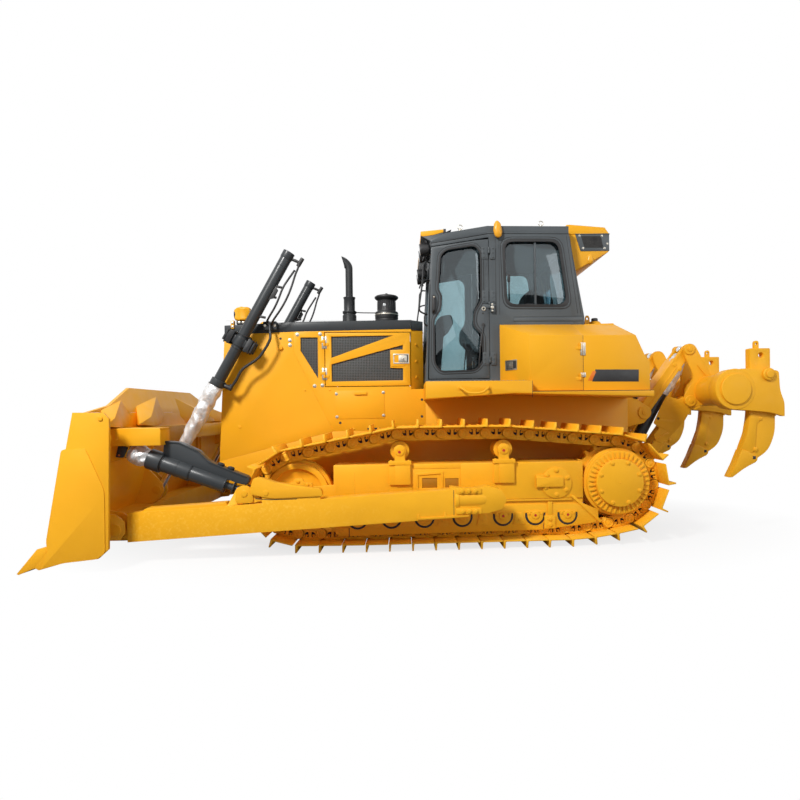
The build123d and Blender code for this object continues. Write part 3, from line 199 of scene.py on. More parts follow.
def rubber(name, colour, shade, roughness=0.6, scale=150.0):
    s = Shader(name)
    tone = s.mix(s.remap(s.noise(6.0, 4), 0.35, 0.7, 0, 1), colour, shade)
    return s.finish(tone, s.remap(s.noise(20.0, 4), 0.3, 0.7, roughness - 0.1, roughness + 0.1),
                    s.bump(s.noise(scale, 3), 0.0006, 0.4))


def foil(name):
    """Crinkled silver wrapping on the cylinder rods."""
    s = Shader(name)
    tone = s.mix(s.remap(s.noise(22.0, 4), 0.35, 0.65, 0, 1), (0.80, 0.81, 0.82), (0.62, 0.63, 0.64))
    crease = s.node("ShaderNodeTexVoronoi", feature="DISTANCE_TO_EDGE")
    crease.inputs["Scale"].default_value = 38.0
    s.links.new(s.place, crease.inputs["Vector"])
    normal = s.bump(crease.outputs["Distance"], 0.004, 0.7)
    normal = s.bump(s.noise(90.0, 4), 0.002, 0.5, normal)
    return s.finish(tone, s.remap(s.noise(30.0, 3), 0.3, 0.7, 0.38, 0.55), normal, Metallic=0.45)


def woven(name, colour, shade):
    """Seat cloth: crossed threads with a soft sheen."""
    s = Shader(name)
    threads = []
    for direction in ("Y", "Z"):
        wave = s.node("ShaderNodeTexWave", bands_direction=direction)
        wave.inputs["Scale"].default_value = 110.0
        s.links.new(s.place, wave.inputs["Vector"])
        threads.append(wave.outputs["Fac"])
    weave = s.times(*threads)
    tone = s.mix(s.remap(s.noise(8.0, 4), 0.3, 0.7, 0, 1), colour, shade)
    tone = s.mix(s.remap(weave, 0, 1, 0, 0.35), tone, tuple(2.2 * c for c in colour))
    return s.finish(tone, 0.85, s.bump(weave, 0.0012, 0.5), Sheen_Weight=0.4, Sheen_Roughness=0.5)


def pane(name, tint, streak):
    """Tinted safety glass: it lets dimmed light through and mirrors the pale sky."""
    s = Shader(name)
    s.nodes.remove(s.surface)
    through = s.node("ShaderNodeBsdfTransparent")
    s.links.new(s.mix(s.remap(s.noise(2.3, 4), 0.3, 0.7, 0, 1), tint, streak), through.inputs["Color"])
    mirror = s.node("ShaderNodeBsdfGlossy")
    mirror.inputs["Color"].default_value = (0.86, 0.95, 1.0, 1)
    s.links.new(s.remap(s.noise(18.0, 5), 0.4, 0.8, 0.02, 0.09), mirror.inputs["Roughness"])
    fresnel = s.node("ShaderNodeFresnel")
    fresnel.inputs["IOR"].default_value = 1.9
    both = s.node("ShaderNodeMixShader")
    s.links.new(fresnel.outputs["Fac"], both.inputs[0])
    s.links.new(through.outputs[0], both.inputs[1])
    s.links.new(mirror.outputs[0], both.inputs[2])
    s.links.new(both.outputs[0], s.nodes["Material Output"].inputs["Surface"])
    return s.material


YELLOW = (0.86, 0.412, 0.012)
YELLOW_DEEP = (0.83, 0.385, 0.011)
DUST = (0.62, 0.48, 0.28)
GREY = (0.085, 0.098, 0.106)
MAT = {
    "yellow": paint("yellow_enamel", YELLOW, YELLOW_DEEP, DUST),
    "cast": casting("yellow_casting", (0.92, 0.45, 0.014), YELLOW, DUST),
    # grey enamel: stronger painted highlight on its rounded edges
    "grey": paint("grey_enamel", GREY, (0.068, 0.078, 0.085), (0.16, 0.16, 0.15), 0.42, edge_highlight_share=0.35, coat=0.1),
    "black": rubber("black_moulding", (0.014, 0.014, 0.015), (0.022, 0.022, 0.023), 0.5, 60.0),
    "rubber": rubber("hose_rubber", (0.018, 0.018, 0.019), (0.03, 0.03, 0.032), 0.62),
    "seal": rubber("window_seal", (0.010, 0.010, 0.011), (0.017, 0.017, 0.018), 0.55, 90.0),
    "steel": metal("machined_steel", (0.50, 0.49, 0.47), (0.36, 0.35, 0.33), 0.32),
    "zinc": metal("plated_hardware", (0.62, 0.58, 0.50), (0.45, 0.42, 0.36), 0.34, scale=70.0),
    "chrome": metal("rod_chrome", (0.78, 0.78, 0.79), (0.70, 0.70, 0.72), 0.12),
    "stain": metal("exhaust_steel", (0.16, 0.15, 0.145), (0.07, 0.066, 0.064), 0.45, 0.8, bump=0.0006),
    "iron": casting("engine_iron", (0.16, 0.155, 0.15), (0.09, 0.088, 0.085), (0.2, 0.19, 0.17)),
    # dark: painted shade in holes, pockets and gaps and behind meshes and vents, and a few dark joint lines
    "dark": rubber("painted_shade_and_dark_joints", (0.02, 0.019, 0.018), (0.035, 0.033, 0.03), 0.8, 40.0),
    "mesh": paint("mesh_enamel", (0.115, 0.12, 0.12), (0.095, 0.1, 0.1), (0.14, 0.14, 0.14), 0.5, coat=0.0),
    "plastic": rubber("grained_plastic", (0.045, 0.045, 0.047), (0.06, 0.06, 0.062), 0.6, 220.0),
    "foil": foil("silver_wrap"),
    "cloth": woven("seat_weave", (0.035, 0.035, 0.04), (0.05, 0.05, 0.055)),
    # shade: darker casting colour painted as the shade inside the track frames' openings
    "shade": casting("painted_shade_casting", (0.42, 0.18, 0.008), (0.36, 0.15, 0.007), DUST),
    "slate": paint("slate_enamel", (0.040, 0.045, 0.049), (0.034, 0.038, 0.042), (0.10, 0.10, 0.09), 0.34),
    "copper": metal("copper_plug", (0.60, 0.28, 0.12), (0.45, 0.20, 0.08), 0.35),
    "ink": paint("black_enamel", (0.026, 0.028, 0.030), (0.022, 0.023, 0.025), (0.05, 0.05, 0.05), 0.42),
    "wrap": rubber("pale_wrap", (0.70, 0.71, 0.72), (0.55, 0.56, 0.57), 0.4, 45.0),
    "glass": pane("tinted_pane", (0.70, 0.80, 0.82), (0.68, 0.78, 0.80)),
    "red": paint("red_enamel", (0.55, 0.03, 0.02), (0.45, 0.025, 0.02), DUST),
    "orange": paint("orange_film", (0.80, 0.20, 0.02), (0.74, 0.18, 0.02), DUST, 0.3),
    "amber": paint("amber_cover", (0.85, 0.42, 0.03), (0.8, 0.37, 0.025), DUST, 0.3),
    "lamp": metal("lamp_glass", (0.75, 0.77, 0.78), (0.6, 0.62, 0.63), 0.08, 0.6),
}


# -------------------------------------------------------------------- shaping
class Solid:
    """Shapes joined into one mesh. Sizes are in millimetres and side views are (x, z)."""

    def __init__(self, material="yellow"):
        self.bm = bmesh.new()
        self.materials = [material]
        self.use(material)

    def use(self, material):
        """The material of what is added from now on."""
        if material not in self.materials:
            self.materials.append(material)
        self.index = self.materials.index(material)
        return self

    def verts(self, points):
        return [self.bm.verts.new(Vector(p) * MM) for p in points]

    def face(self, corners):
        try:
            made = self.bm.faces.new(corners)
        except ValueError:
            return
        made.material_index = self.index

    def rings(self, rings, closed=False, cap=True):
        """Skin through rings of points, with end caps unless the rings close on themselves."""
        made = [self.verts(ring) for ring in rings]
        pairs = list(zip(made, made[1:]))
        if closed:
            pairs.append((made[-1], made[0]))
        for one, two in pairs:
            for i in range(len(one)):
                self.face((one[i - 1], one[i], two[i], two[i - 1]))
        if cap and not closed:
            self.face(made[0][::-1])
            self.face(made[-1])
        return self

    def prism(self, outline, y0, y1, holes=(), to_world=None):
        """Plate whose outline is (x, z), from y0 to y1, with holes as further outlines."""
        to_world = to_world or (lambda x, z, y: (x, y, z))
        loops = [list(outline), *[list(hole) for hole in holes]]
        near, far = [], []
        for loop in loops:
            one = self.verts([to_world(x, z, y0) for x, z in loop])
            two = self.verts([to_world(x, z, y1) for x, z in loop])
            near.append(one)
            far.append(two)
            for i in range(len(loop)):
                self.face((one[i - 1], one[i], two[i], two[i - 1]))
        if not holes:
            self.face(near[0])
            self.face(far[0][::-1])
            return self
        corners = tessellate_polygon([[Vector((x, z, 0)) for x, z in loop] for loop in loops])
        for ends in (near, far):
            flat = [v for loop in ends for v in loop]
            for triangle in corners:
                self.face([flat[i] for i in triangle])
        return self

    def box(self, x0, x1, y0, y1, z0, z1):
        return self.prism(((x0, z0), (x1, z0), (x1, z1), (x0, z1)), y0, y1)

    def turn(self, origin, axis, profile, sides=32, phase=0.0, cap=True):
        """Round shape about an axis, from (distance, radius) pairs."""
        axis = Vector(axis).normalized()
        right = axis.orthogonal().normalized()
        other = axis.cross(right)
        rings = []
        for distance, radius in profile:
            centre = Vector(origin) + axis * distance
            rings.append([centre + radius * (right * cos(a) + other * sin(a))
                          for a in (phase + 2 * pi * k / sides for k in range(sides))])
        return self.rings(rings, cap=cap)

    def rod(self, start, end, radius, sides=24, chamfer=0.0):
        """Round bar between two points."""
        run = Vector(end) - Vector(start)
        long = run.length
        if chamfer:
            profile = ((0, radius - chamfer), (chamfer, radius), (long - chamfer, radius), (long, radius - chamfer))
        else:
            profile = ((0, radius), (long, radius))
        return self.turn(start, run, profile, sides)

    def disc(self, centre, radius, y0, y1, sides=40, chamfer=2.0):
        """Round boss with its axis across the machine."""
        x, z = centre
        return self.rod((x, min(y0, y1), z), (x, max(y0, y1), z), radius, sides, chamfer)

    def ring(self, origin, axis, outer, inner, long, sides=40, chamfer=2.0):
        """Open ring, from its origin along an axis."""
        c = chamfer
        profile = ((c, inner), (0, inner + c), (0, outer - c), (c, outer), (long - c, outer), (long, outer - c),
                   (long, inner + c), (long - c, inner))
        axis = Vector(axis).normalized()
        right = axis.orthogonal().normalized()
        other = axis.cross(right)
        turns = []
        for k in range(sides):
            a = 2 * pi * k / sides
            out = right * cos(a) + other * sin(a)
            turns.append([Vector(origin) + axis * d + out * r for d, r in profile])
        return self.rings(turns, closed=True)

    def bolt(self, place, axis, size=9.0, height=None, washer=True):
        """Hexagon head with a washer, standing on a face."""
        height = height or 0.6 * size
        if washer:
            self.turn(place, axis, ((-1, 1.55 * size), (0.14 * size, 1.5 * size)), 20)
            place = Vector(place) + Vector(axis).normalized() * 0.14 * size
        return self.turn(place, axis, ((-1, size), (0.8 * height, size), (height, 0.82 * size)), 6)

    def bolts(self, places, axis, size=9.0, **more):
        for place in places:
            self.bolt(place, axis, size, **more)
        return self

    def tube(self, route, radius, sides=12, round_by=0.45, steps=6):
        """Bent tube or hose along a route, its corners rounded."""
        path = rounded(route, round_by, steps)
        rings, side = [], None
        for i, point in enumerate(path):
            ahead = path[min(i + 1, len(path) - 1)] - path[max(i - 1, 0)]
            ahead.normalize()
            if side is None:
                side = ahead.orthogonal().normalized()
            side = (side - ahead * side.dot(ahead)).normalized()
            other = ahead.cross(side)
            rings.append([point + radius * (side * cos(a) + other * sin(a))
                          for a in (2 * pi * k / sides for k in range(sides))])
        return self.rings(rings)

    def mirror(self):
        """Adds the other side's copy."""
        self.bm.normal_update()
        made = bmesh.ops.duplicate(self.bm, geom=self.bm.verts[:] + self.bm.edges[:] + self.bm.faces[:])["geom"]
        for item in made:
            if isinstance(item, bmesh.types.BMVert):
                item.co.y = -item.co.y
        bmesh.ops.reverse_faces(self.bm, faces=[f for f in made if isinstance(f, bmesh.types.BMFace)])
        return self

    def flip(self):
        """Moves everything to the other side."""
        for vert in self.bm.verts:
            vert.co.y = -vert.co.y
        bmesh.ops.reverse_faces(self.bm, faces=self.bm.faces[:])
        return self

    def handed(self, name, body, slot, **finish):
        """This piece on the left-hand body and its mirror image on the right-hand one."""
        other = Solid()
        other.bm.free()
        other.bm, other.materials = self.bm.copy(), list(self.materials)
        self.piece(name + "_left", body + "_left", slot, **finish)
        other.flip().piece(name + "_right", body + "_right", slot, **finish)

    def piece(self, name, body, slot, bevel=2.0, segments=2, angle=32, replaces=()):
        """One finished piece: normals outwards, edges rounded, riding on its body if it has one."""
        bmesh.ops.recalc_face_normals(self.bm, faces=self.bm.faces[:])
        mesh = bpy.data.meshes.new(name)
        self.bm.to_mesh(mesh)
        self.bm.free()
        for material in self.materials:
            mesh.materials.append(MAT[material])
        thing = bpy.data.objects.new(name, mesh)
        bpy.context.scene.collection.objects.link(thing)
        if bevel:
            round_edges(thing, bevel, segments, angle)
        mark_edges(thing.data, angle)
        if body:
            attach(thing, body)
        if replaces:
            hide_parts(*replaces)
        return thing


def rounded(route, share, steps):
    """Route with its corners turned into smooth bends."""
    points = [Vector(p) for p in route]
    path = [points[0]]
    for before, corner, after in zip(points, points[1:], points[2:]):
        reach = share * min((corner - before).length, (after - corner).length)
        start = corner + (before - corner).normalized() * reach
        end = corner + (after - corner).normalized() * reach
        for k in range(steps + 1):
            t = k / steps
            path.append(start * (1 - t) ** 2 + corner * 2 * t * (1 - t) + end * t ** 2)
    path.append(points[-1])
    return path


def soft_outline(points, radius, steps=4):
    """Outline with its corners rounded, by one radius or one for each corner."""
    made = []
    count = len(points)
    for i, (x, z) in enumerate(points):
        r = radius[i] if isinstance(radius, (list, tuple)) else radius
        before, after = Vector(points[i - 1]), Vector(points[(i + 1) % count])
        corner = Vector((x, z))
        one, two = (before - corner), (after - corner)
        reach = min(r, 0.49 * one.length, 0.49 * two.length)
        start, end = corner + one.normalized() * reach, corner + two.normalized() * reach
        if reach < 1:
            made.append((x, z))
            continue
        for k in range(steps + 1):
            t = k / steps
            point = start * (1 - t) ** 2 + corner * 2 * t * (1 - t) + end * t ** 2
            made.append(tuple(point))
    return made


def circle(centre, radius, sides=24):
    return [(centre[0] + radius * cos(2 * pi * k / sides), centre[1] + radius * sin(2 * pi * k / sides))
            for k in range(sides)]


def lerp(a, b, t):
    return tuple(p + (q - p) * t for p, q in zip(a, b))


def apply_modifiers(thing):
    view = bpy.context.evaluated_depsgraph_get()
    mesh = bpy.data.meshes.new_from_object(thing.evaluated_get(view))
    old = thing.data
    thing.modifiers.clear()
    thing.data = mesh
    bpy.data.meshes.remove(old)


def round_edges(thing, width, segments=2, angle=32):
    """Really rounds every edge that turns more than an angle."""
    made = thing.modifiers.new("round", "BEVEL")
    made.width = width * MM
    made.segments = segments
    made.limit_method = "ANGLE"
    made.angle_limit = radians(angle)
    made.use_clamp_overlap = True
    made.miter_outer = "MITER_ARC" if segments > 2 else "MITER_SHARP"
    apply_modifiers(thing)


def mark_edges(mesh, angle):
    """Smooth shading between close faces, and an attribute that finds the rounded edges."""
    bm = bmesh.new()
    bm.from_mesh(mesh)
    bm.normal_update()
    layer = bm.verts.layers.float.new("edge")
    for edge in bm.edges:
        faces = edge.link_faces
        if len(faces) != 2:
            edge.smooth = False
            continue
        turn = faces[0].normal.angle(faces[1].normal, 0)
        edge.smooth = turn < radians(50)
        if turn > radians(28):
            for vert in edge.verts:
                vert[layer] = 1.0
    for face in bm.faces:
        face.smooth = True
    bm.to_mesh(mesh)
    bm.free()
    mesh.validate()


def skin(node, material, bevel=3.0, segments=2, angle=32, also=()):
    """Stands for CAD nodes whose shape is right: the same faces with really rounded edges."""
    names = (node, *also)
    bm = bmesh.new()
    for name in names:
        bm.from_mesh(frame["nodes"][name].data)
    bmesh.ops.remove_doubles(bm, verts=bm.verts[:], dist=0.00002)
    bmesh.ops.dissolve_limit(bm, angle_limit=radians(0.4), verts=bm.verts[:], edges=bm.edges[:])
    bmesh.ops.recalc_face_normals(bm, faces=bm.faces[:])
    mesh = bpy.data.meshes.new(node + "_skin")
    for face in bm.faces:
        face.material_index = 0
    bm.to_mesh(mesh)
    bm.free()
    mesh.materials.append(MAT[material])
    thing = bpy.data.objects.new(node + "_skin", mesh)
    bpy.context.scene.collection.objects.link(thing)
    if bevel:
        round_edges(thing, bevel, segments, angle)
    mark_edges(thing.data, angle)
    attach(thing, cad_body(node))
    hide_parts(*names)
    return thing


BODY_OF = {node: body for body, nodes in frame["record"]["behaviour"]["bodies"].items() for node in nodes}


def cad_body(node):
    return BODY_OF[node]


# --------------------------------------------------------------------- tracks
GAUGE = 2100
PITCH = 216
SHOE_WIDTH = 610
RAIL_HALF = 62
SHOE_PLATE = 14
GROUSER = 65
PIN_Z = GROUSER + SHOE_PLATE + RAIL_HALF
SPROCKET = (-1727, 600)
SPROCKET_TEETH = 23
SPROCKET_PIN_R = PITCH / (2 * sin(2 * pi / SPROCKET_TEETH))
IDLER = (1405, 531)
IDLER_PIN_R = 320 + RAIL_HALF
CARRIERS = ((-601, 939), (411, 939))
CARRIER_PIN_R = 100 + RAIL_HALF
ROLLER_XS = (822, 498, 179, -190, -588, -906, -1227)
ROLLER_Z = PIN_Z + RAIL_HALF + 85
ROLLER_CLEAR = 110


def polar(centre, radius, angle):
    return (centre[0] + radius * cos(angle), centre[1] + radius * sin(angle))


def tangent(c1, r1, c2, r2):
    """Ends of the outer tangent of two circles, left of the way from c1 to c2."""
    span = hypot(c2[0] - c1[0], c2[1] - c1[1])
    ux, uz = (c2[0] - c1[0]) / span, (c2[1] - c1[1]) / span
    lean = (r1 - r2) / span
    side = sqrt(1 - lean ** 2)
    nx, nz = lean * ux - side * uz, lean * uz + side * ux
    return (c1[0] + r1 * nx, c1[1] + r1 * nz), (c2[0] + r2 * nx, c2[1] + r2 * nz)


def track_pins():
    """Pins evenly spaced round the loop, clockwise from the idler, as the CAD track has them."""
    drop = ROLLER_Z - PIN_Z
    stops = [(IDLER, IDLER_PIN_R), ((ROLLER_XS[0], ROLLER_Z), drop),
             ((ROLLER_XS[-1] - ROLLER_CLEAR, ROLLER_Z), drop), (SPROCKET, SPROCKET_PIN_R),
             (CARRIERS[0], CARRIER_PIN_R), (CARRIERS[1], CARRIER_PIN_R)]
    runs = [tangent(*stops[i - 1], *stops[i]) for i in range(len(stops))]
    spans = []
    for i, (centre, radius) in enumerate(stops):
        start, end = runs[i]
        leave = runs[(i + 1) % len(stops)][0]
        first = atan2(end[1] - centre[1], end[0] - centre[0])
        last = atan2(leave[1] - centre[1], leave[0] - centre[0])
        spans.append((hypot(end[0] - start[0], end[1] - start[1]),
                      lambda d, a=start, b=end: lerp(a, b, d / hypot(b[0] - a[0], b[1] - a[1]))))
        spans.append((radius * ((first - last) % (2 * pi)),
                      lambda d, c=centre, r=radius, a=first: polar(c, r, a - d / r)))
    total = sum(long for long, _ in spans)
    count = round(total / PITCH)
    pins = []
    for k in range(count):
        rest = k * total / count
        for long, place in spans:
            if rest <= long:
                pins.append(place(rest))
                break
            rest -= long
    return pins


def outer_face(side):
    """Outer side of a link, from the track's middle."""
    return 107 * side


def shoe_plates(outboard):
    """One shoe with its two links, in its own (along, out) frame. The outboard link is the one that shows."""
    half = PITCH / 2 - 3
    top = RAIL_HALF + SHOE_PLATE
    plates = Solid("cast")
    plates.prism(((-half, RAIL_HALF), (half - 14, RAIL_HALF), (half, RAIL_HALF + 5), (half, top - 2), (half - 8, top),
                  (26 - half, top), (20 - half, top + 6), (15 - half, top + GROUSER - 2), (12 - half, top + GROUSER),
                  (2 - half, top + GROUSER), (-half, top + GROUSER - 3), (-half, RAIL_HALF + 6)),
                 -SHOE_WIDTH / 2 + 4, SHOE_WIDTH / 2 - 4)
    link = ((-half - 30, -44), (-half - 34, 10), (-half + 20, 46), (-half + 34, RAIL_HALF - 1),
            (half - 20, RAIL_HALF - 1), (half + 8, 46), (half + 58, 34), (half + 58, -34),
            (half + 10, -56), (half - 40, -RAIL_HALF), (-half + 40, -RAIL_HALF), (-half, -58))
    windows = [soft_outline([(x * out, z) for x, z in ((12, -16), (30, -18), (50, -2), (52, 22), (40, 38), (14, 38))],
                            9, 2) for out in (-1, 1)]
    for side in (LEFT, RIGHT):
        shown = side == outboard
        plates.prism(soft_outline(link, 22, 2 if shown else 1), 65 * side, outer_face(side) - 8 * side,
                     holes=windows if shown else ())
    return plates


def shoe_fittings(outboard):
    """Link bosses, pin, bushing, nuts and bolts of one shoe."""
    fittings = Solid("cast")
    for side in (LEFT, RIGHT):
        outer = outer_face(side)
        if side == outboard:
            fittings.disc((-PITCH / 2, 0), 44, outer - 14 * side, outer - 2 * side, 20, 3)
            fittings.ring((PITCH / 2, outer - (14 if side > 0 else 0) * side, 0), (0, 1, 0), 50, 30, 14, 18, 3)
            fittings.disc((PITCH / 2, 0), 31, outer - 14 * side, outer - 5 * side, 16, 1)
            for x in (-34, 34):
                fittings.turn((x, 86 * side, 10), (0, 0, 1), ((0, 13), (16, 13), (17, 9), (26, 9)), 6)
        else:
            fittings.disc((-PITCH / 2, 0), 44, outer - 14 * side, outer - 2 * side, 14, 0)
            fittings.disc((PITCH / 2, 0), 50, outer - 14 * side, outer, 14, 0)
    fittings.bolts([(x, y, RAIL_HALF + SHOE_PLATE) for x in (-38, 40) for y in (-86, -60, 60, 86)], (0, 0, 1), 11,
                   washer=False)
    # painted shade: dark discs at the pin ends and a dark block in the gap between the links
    fittings.use("dark")
    for side in (LEFT, RIGHT):
        fittings.disc((PITCH / 2, 0), 8, outer_face(side) - 6 * side, outer_face(side) - 4.4 * side, 10, 0)
    fittings.box(-56, 56, 66 * outboard, 78 * outboard, -20, 42)
    fittings.use("steel").disc((PITCH / 2, 0), 34, -66, 66, 14, 0)
    return fittings


def build_track(side, name):
    """All shoes and links of one track, from one rounded unit."""
    patterns = [shoe_plates(side).piece("plate_pattern", "root", "yellow_track", 2.5, 1, 34),
                shoe_fittings(side).piece("fitting_pattern", "root", "yellow_track", 0)]
    materials = []
    for pattern in patterns:
        for material in pattern.data.materials:
            if material not in materials:
                materials.append(material)
        for face in pattern.data.polygons:
            face.material_index = materials.index(pattern.data.materials[face.material_index])
    pins = track_pins()
    bm = bmesh.new()
    for i, pin in enumerate(pins):
        before = pins[i - 1]
        dx, dz = pin[0] - before[0], pin[1] - before[1]
        reach = hypot(dx, dz)
        ux, uz = dx / reach, dz / reach
        stretch = reach / PITCH
        place = Matrix(((ux * stretch, 0, -uz, (pin[0] + before[0]) / 2 * MM),
                        (0, 1, 0, side * GAUGE / 2 * MM),
                        (uz * stretch, 0, ux, (pin[1] + before[1]) / 2 * MM),
                        (0, 0, 0, 1)))
        known = len(bm.verts)
        for pattern in patterns:
            bm.from_mesh(pattern.data)
        bm.verts.ensure_lookup_table()
        bmesh.ops.transform(bm, matrix=place, verts=bm.verts[known:])
    mesh = bpy.data.meshes.new(name + "_shoes")
    bm.to_mesh(mesh)
    bm.free()
    for material in materials:
        mesh.materials.append(material)
    thing = bpy.data.objects.new(name + "_shoes", mesh)
    bpy.context.scene.collection.objects.link(thing)
    for pattern in patterns:
        bpy.data.objects.remove(pattern)
    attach(thing, "root")
    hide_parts(name)
    return thing


build_track(LEFT, "track_left")
build_track(RIGHT, "track_right")

# ---------------------------------------------------------------------- skins
SKINS = (
    ("cast", 3.0, ("sprockets", "idlers", "track_rollers", "carrier_rollers", "track_frame_left",
                   "track_frame_right", "pivot_shafts", "equalizer_bar", "push_arm_left", "push_arm_right",
                   "ripper_mount", "ripper_lower_links", "ripper_upper_links")),
    ("yellow", 3.0, ("main_frame", "radiator_guard", "engine_side_panels", "engine_door_left",
                     "engine_door_right", "air_conditioner", "side_boxes", "box_door_left", "box_door_right",
                     "rear_tank", "decks", "moldboard", "cutting_edge", "tilt_cylinder_guards")),
    ("grey", 3.0, ("cab_frame", "cab_door_left", "cab_door_right", "cab_roof", "cab_floor")),
    ("slate", 3.0, ("hood", "tilt_barrels", "lift_yokes")),
    ("ink", 3.0, ("ripper_barrels",)),
    ("mesh", 1.0, ("radiator_grille",)),
    ("chrome", 1.0, ("lift_rods", "tilt_rods", "ripper_rods")),
    ("iron", 4.0, ("engine",)),
    ("glass", 0.5, ("cab_glass", "cab_door_glass_left", "cab_door_glass_right")),
)
for material, bevel, nodes in SKINS:
    for node in nodes:
        skin(node, material, bevel)



# ---------------------------------------------------------------- trim helpers
def grow(outline, by):
    """Outline moved outwards by a distance, or inwards by a negative one, with its corners kept."""
    count = len(outline)
    area = sum(outline[i - 1][0] * outline[i][1] - outline[i][0] * outline[i - 1][1] for i in range(count))
    turn = 1 if area > 0 else -1
    made = []
    for i in range(count):
        here = Vector(outline[i])
        one = (here - Vector(outline[i - 1])).normalized()
        two = (Vector(outline[(i + 1) % count]) - here).normalized()
        out = Vector((one.y + two.y, -one.x - two.x)) * turn
        out.normalize()
        share = max(0.35, out.dot(Vector((one.y, -one.x)) * turn))
        made.append(tuple(here + out * by / share))
    return made


def stretches(outline, level, along):
    """Where a level line, along x (0) or along z (1), lies inside an outline."""
    hits = []
    for one, two in zip(outline, outline[1:] + outline[:1]):
        a, b = one[1 - along], two[1 - along]
        if (a > level) != (b > level):
            hits.append(one[along] + (level - a) / (b - a) * (two[along] - one[along]))
    hits.sort()
    return list(zip(hits[::2], hits[1::2]))


def mesh_window(solid, outline, y, step=17, wire=7):
    """Woven wire guard over a dark sheet of painted shade, from y outwards."""
    outline = list(outline)
    # painted shade: a dark sheet behind the wire stands for the shade inside
    solid.use("dark").prism(outline, y, y + 2)
    solid.use("mesh")
    for along in (0, 1):
        levels = [point[1 - along] for point in outline]
        level = min(levels) + step / 2
        while level < max(levels):
            for start, end in stretches(outline, level, along):
                low, high = level - wire / 2, level + wire / 2
                if along == 0:
                    solid.box(start, end, y + 4, y + 7, low, high)
                else:
                    solid.box(low, high, y + 6, y + 9, start, end)
            level += step
    return solid


def frame_strip(solid, outline, out, into, y0, y1, radius=40):
    """Strip that follows an outline, between two distances outside it, with soft corners."""
    return solid.prism(soft_outline(grow(outline, out), radius), y0, y1,
                       holes=[soft_outline(grow(outline, into), radius)])


def paddle_latch(solid, x0, x1, z0, z1, y, to_world=None):
    """Flush paddle latch: plated cup, painted shade in its pocket and keyhole, paddle and lock barrel."""
    width, height = x1 - x0, z1 - z0
    cup = ((x0, z0), (x1, z0), (x1, z1), (x0, z1))
    solid.use("zinc").prism(soft_outline(cup, 8), y, y + 5, [soft_outline(grow(cup, -12), 6)], to_world)
    # painted shade: a dark sheet in the latch's pocket
    solid.use("dark").prism(grow(cup, -10), y, y + 1.5, (), to_world)
    paddle = ((x0 + 0.14 * width, z0 + 0.16 * height), (x0 + 0.66 * width, z0 + 0.16 * height),
              (x0 + 0.66 * width, z1 - 0.16 * height), (x0 + 0.14 * width, z1 - 0.16 * height))
    solid.use("zinc").prism(soft_outline(paddle, 6), y + 1, y + 7, (), to_world)
    solid.prism(circle((x0 + 0.36 * width, z0 + 0.5 * height), 0.13 * height, 20), y + 7, y + 10, (), to_world)
    # painted shade: a dark disc for the keyhole
    solid.use("dark").prism(circle((x0 + 0.36 * width, z0 + 0.5 * height), 0.05 * height, 12), y + 10, y + 10.6,
                            (), to_world)


def wrinkle(solid, depth, scale):
    """Moves every corner by smooth seeded noise, for wrapped and crumpled things."""
    for vert in solid.bm.verts:
        vert.co += noise.noise_vector(vert.co / MM / scale) * depth * MM
    return solid


def oval(solid, centre, half, rings=14, sides=24, lean=0.0):
    """Egg-shaped form about a leaning upright axis."""
    made = []
    for i in range(rings):
        t = pi * (i + 0.5) / rings
        level, spread = -cos(t), sin(t) ** 0.8
        made.append([(centre[0] + half[0] * spread * cos(a) * (1 - 0.22 * level) + lean * level,
                      centre[1] + half[1] * spread * sin(a) * (1 - 0.22 * level), centre[2] + half[2] * level)
                     for a in (2 * pi * k / sides for k in range(sides))])
    return solid.rings(made)


# ------------------------------------------------- radiator guard and engine bay
PANEL_Y = 590
PANEL_WINDOW = ((1454, 2120), (1272, 2120), (1272, 1680), (1454, 1980))
DOOR_WINDOWS = (((1130, 2128), (470, 2138), (1130, 1900)),
                ((1130, 1833), (370, 2035), (370, 1985), (505, 1980), (505, 1790), (370, 1785),
                 (370, 1655), (1130, 1648)))
HINGE_X = 1203
HINGE_STRIPS = ((1665, 1793), (1998, 2127))
COVER = ((573, 1250), (1093, 1250), (1093, 1550), (573, 1550))
HOOD_EXTENSION = ((277, 590), (150, 470), (150, -470), (277, -590))
HOOD_SIDES = (2196, 2299)


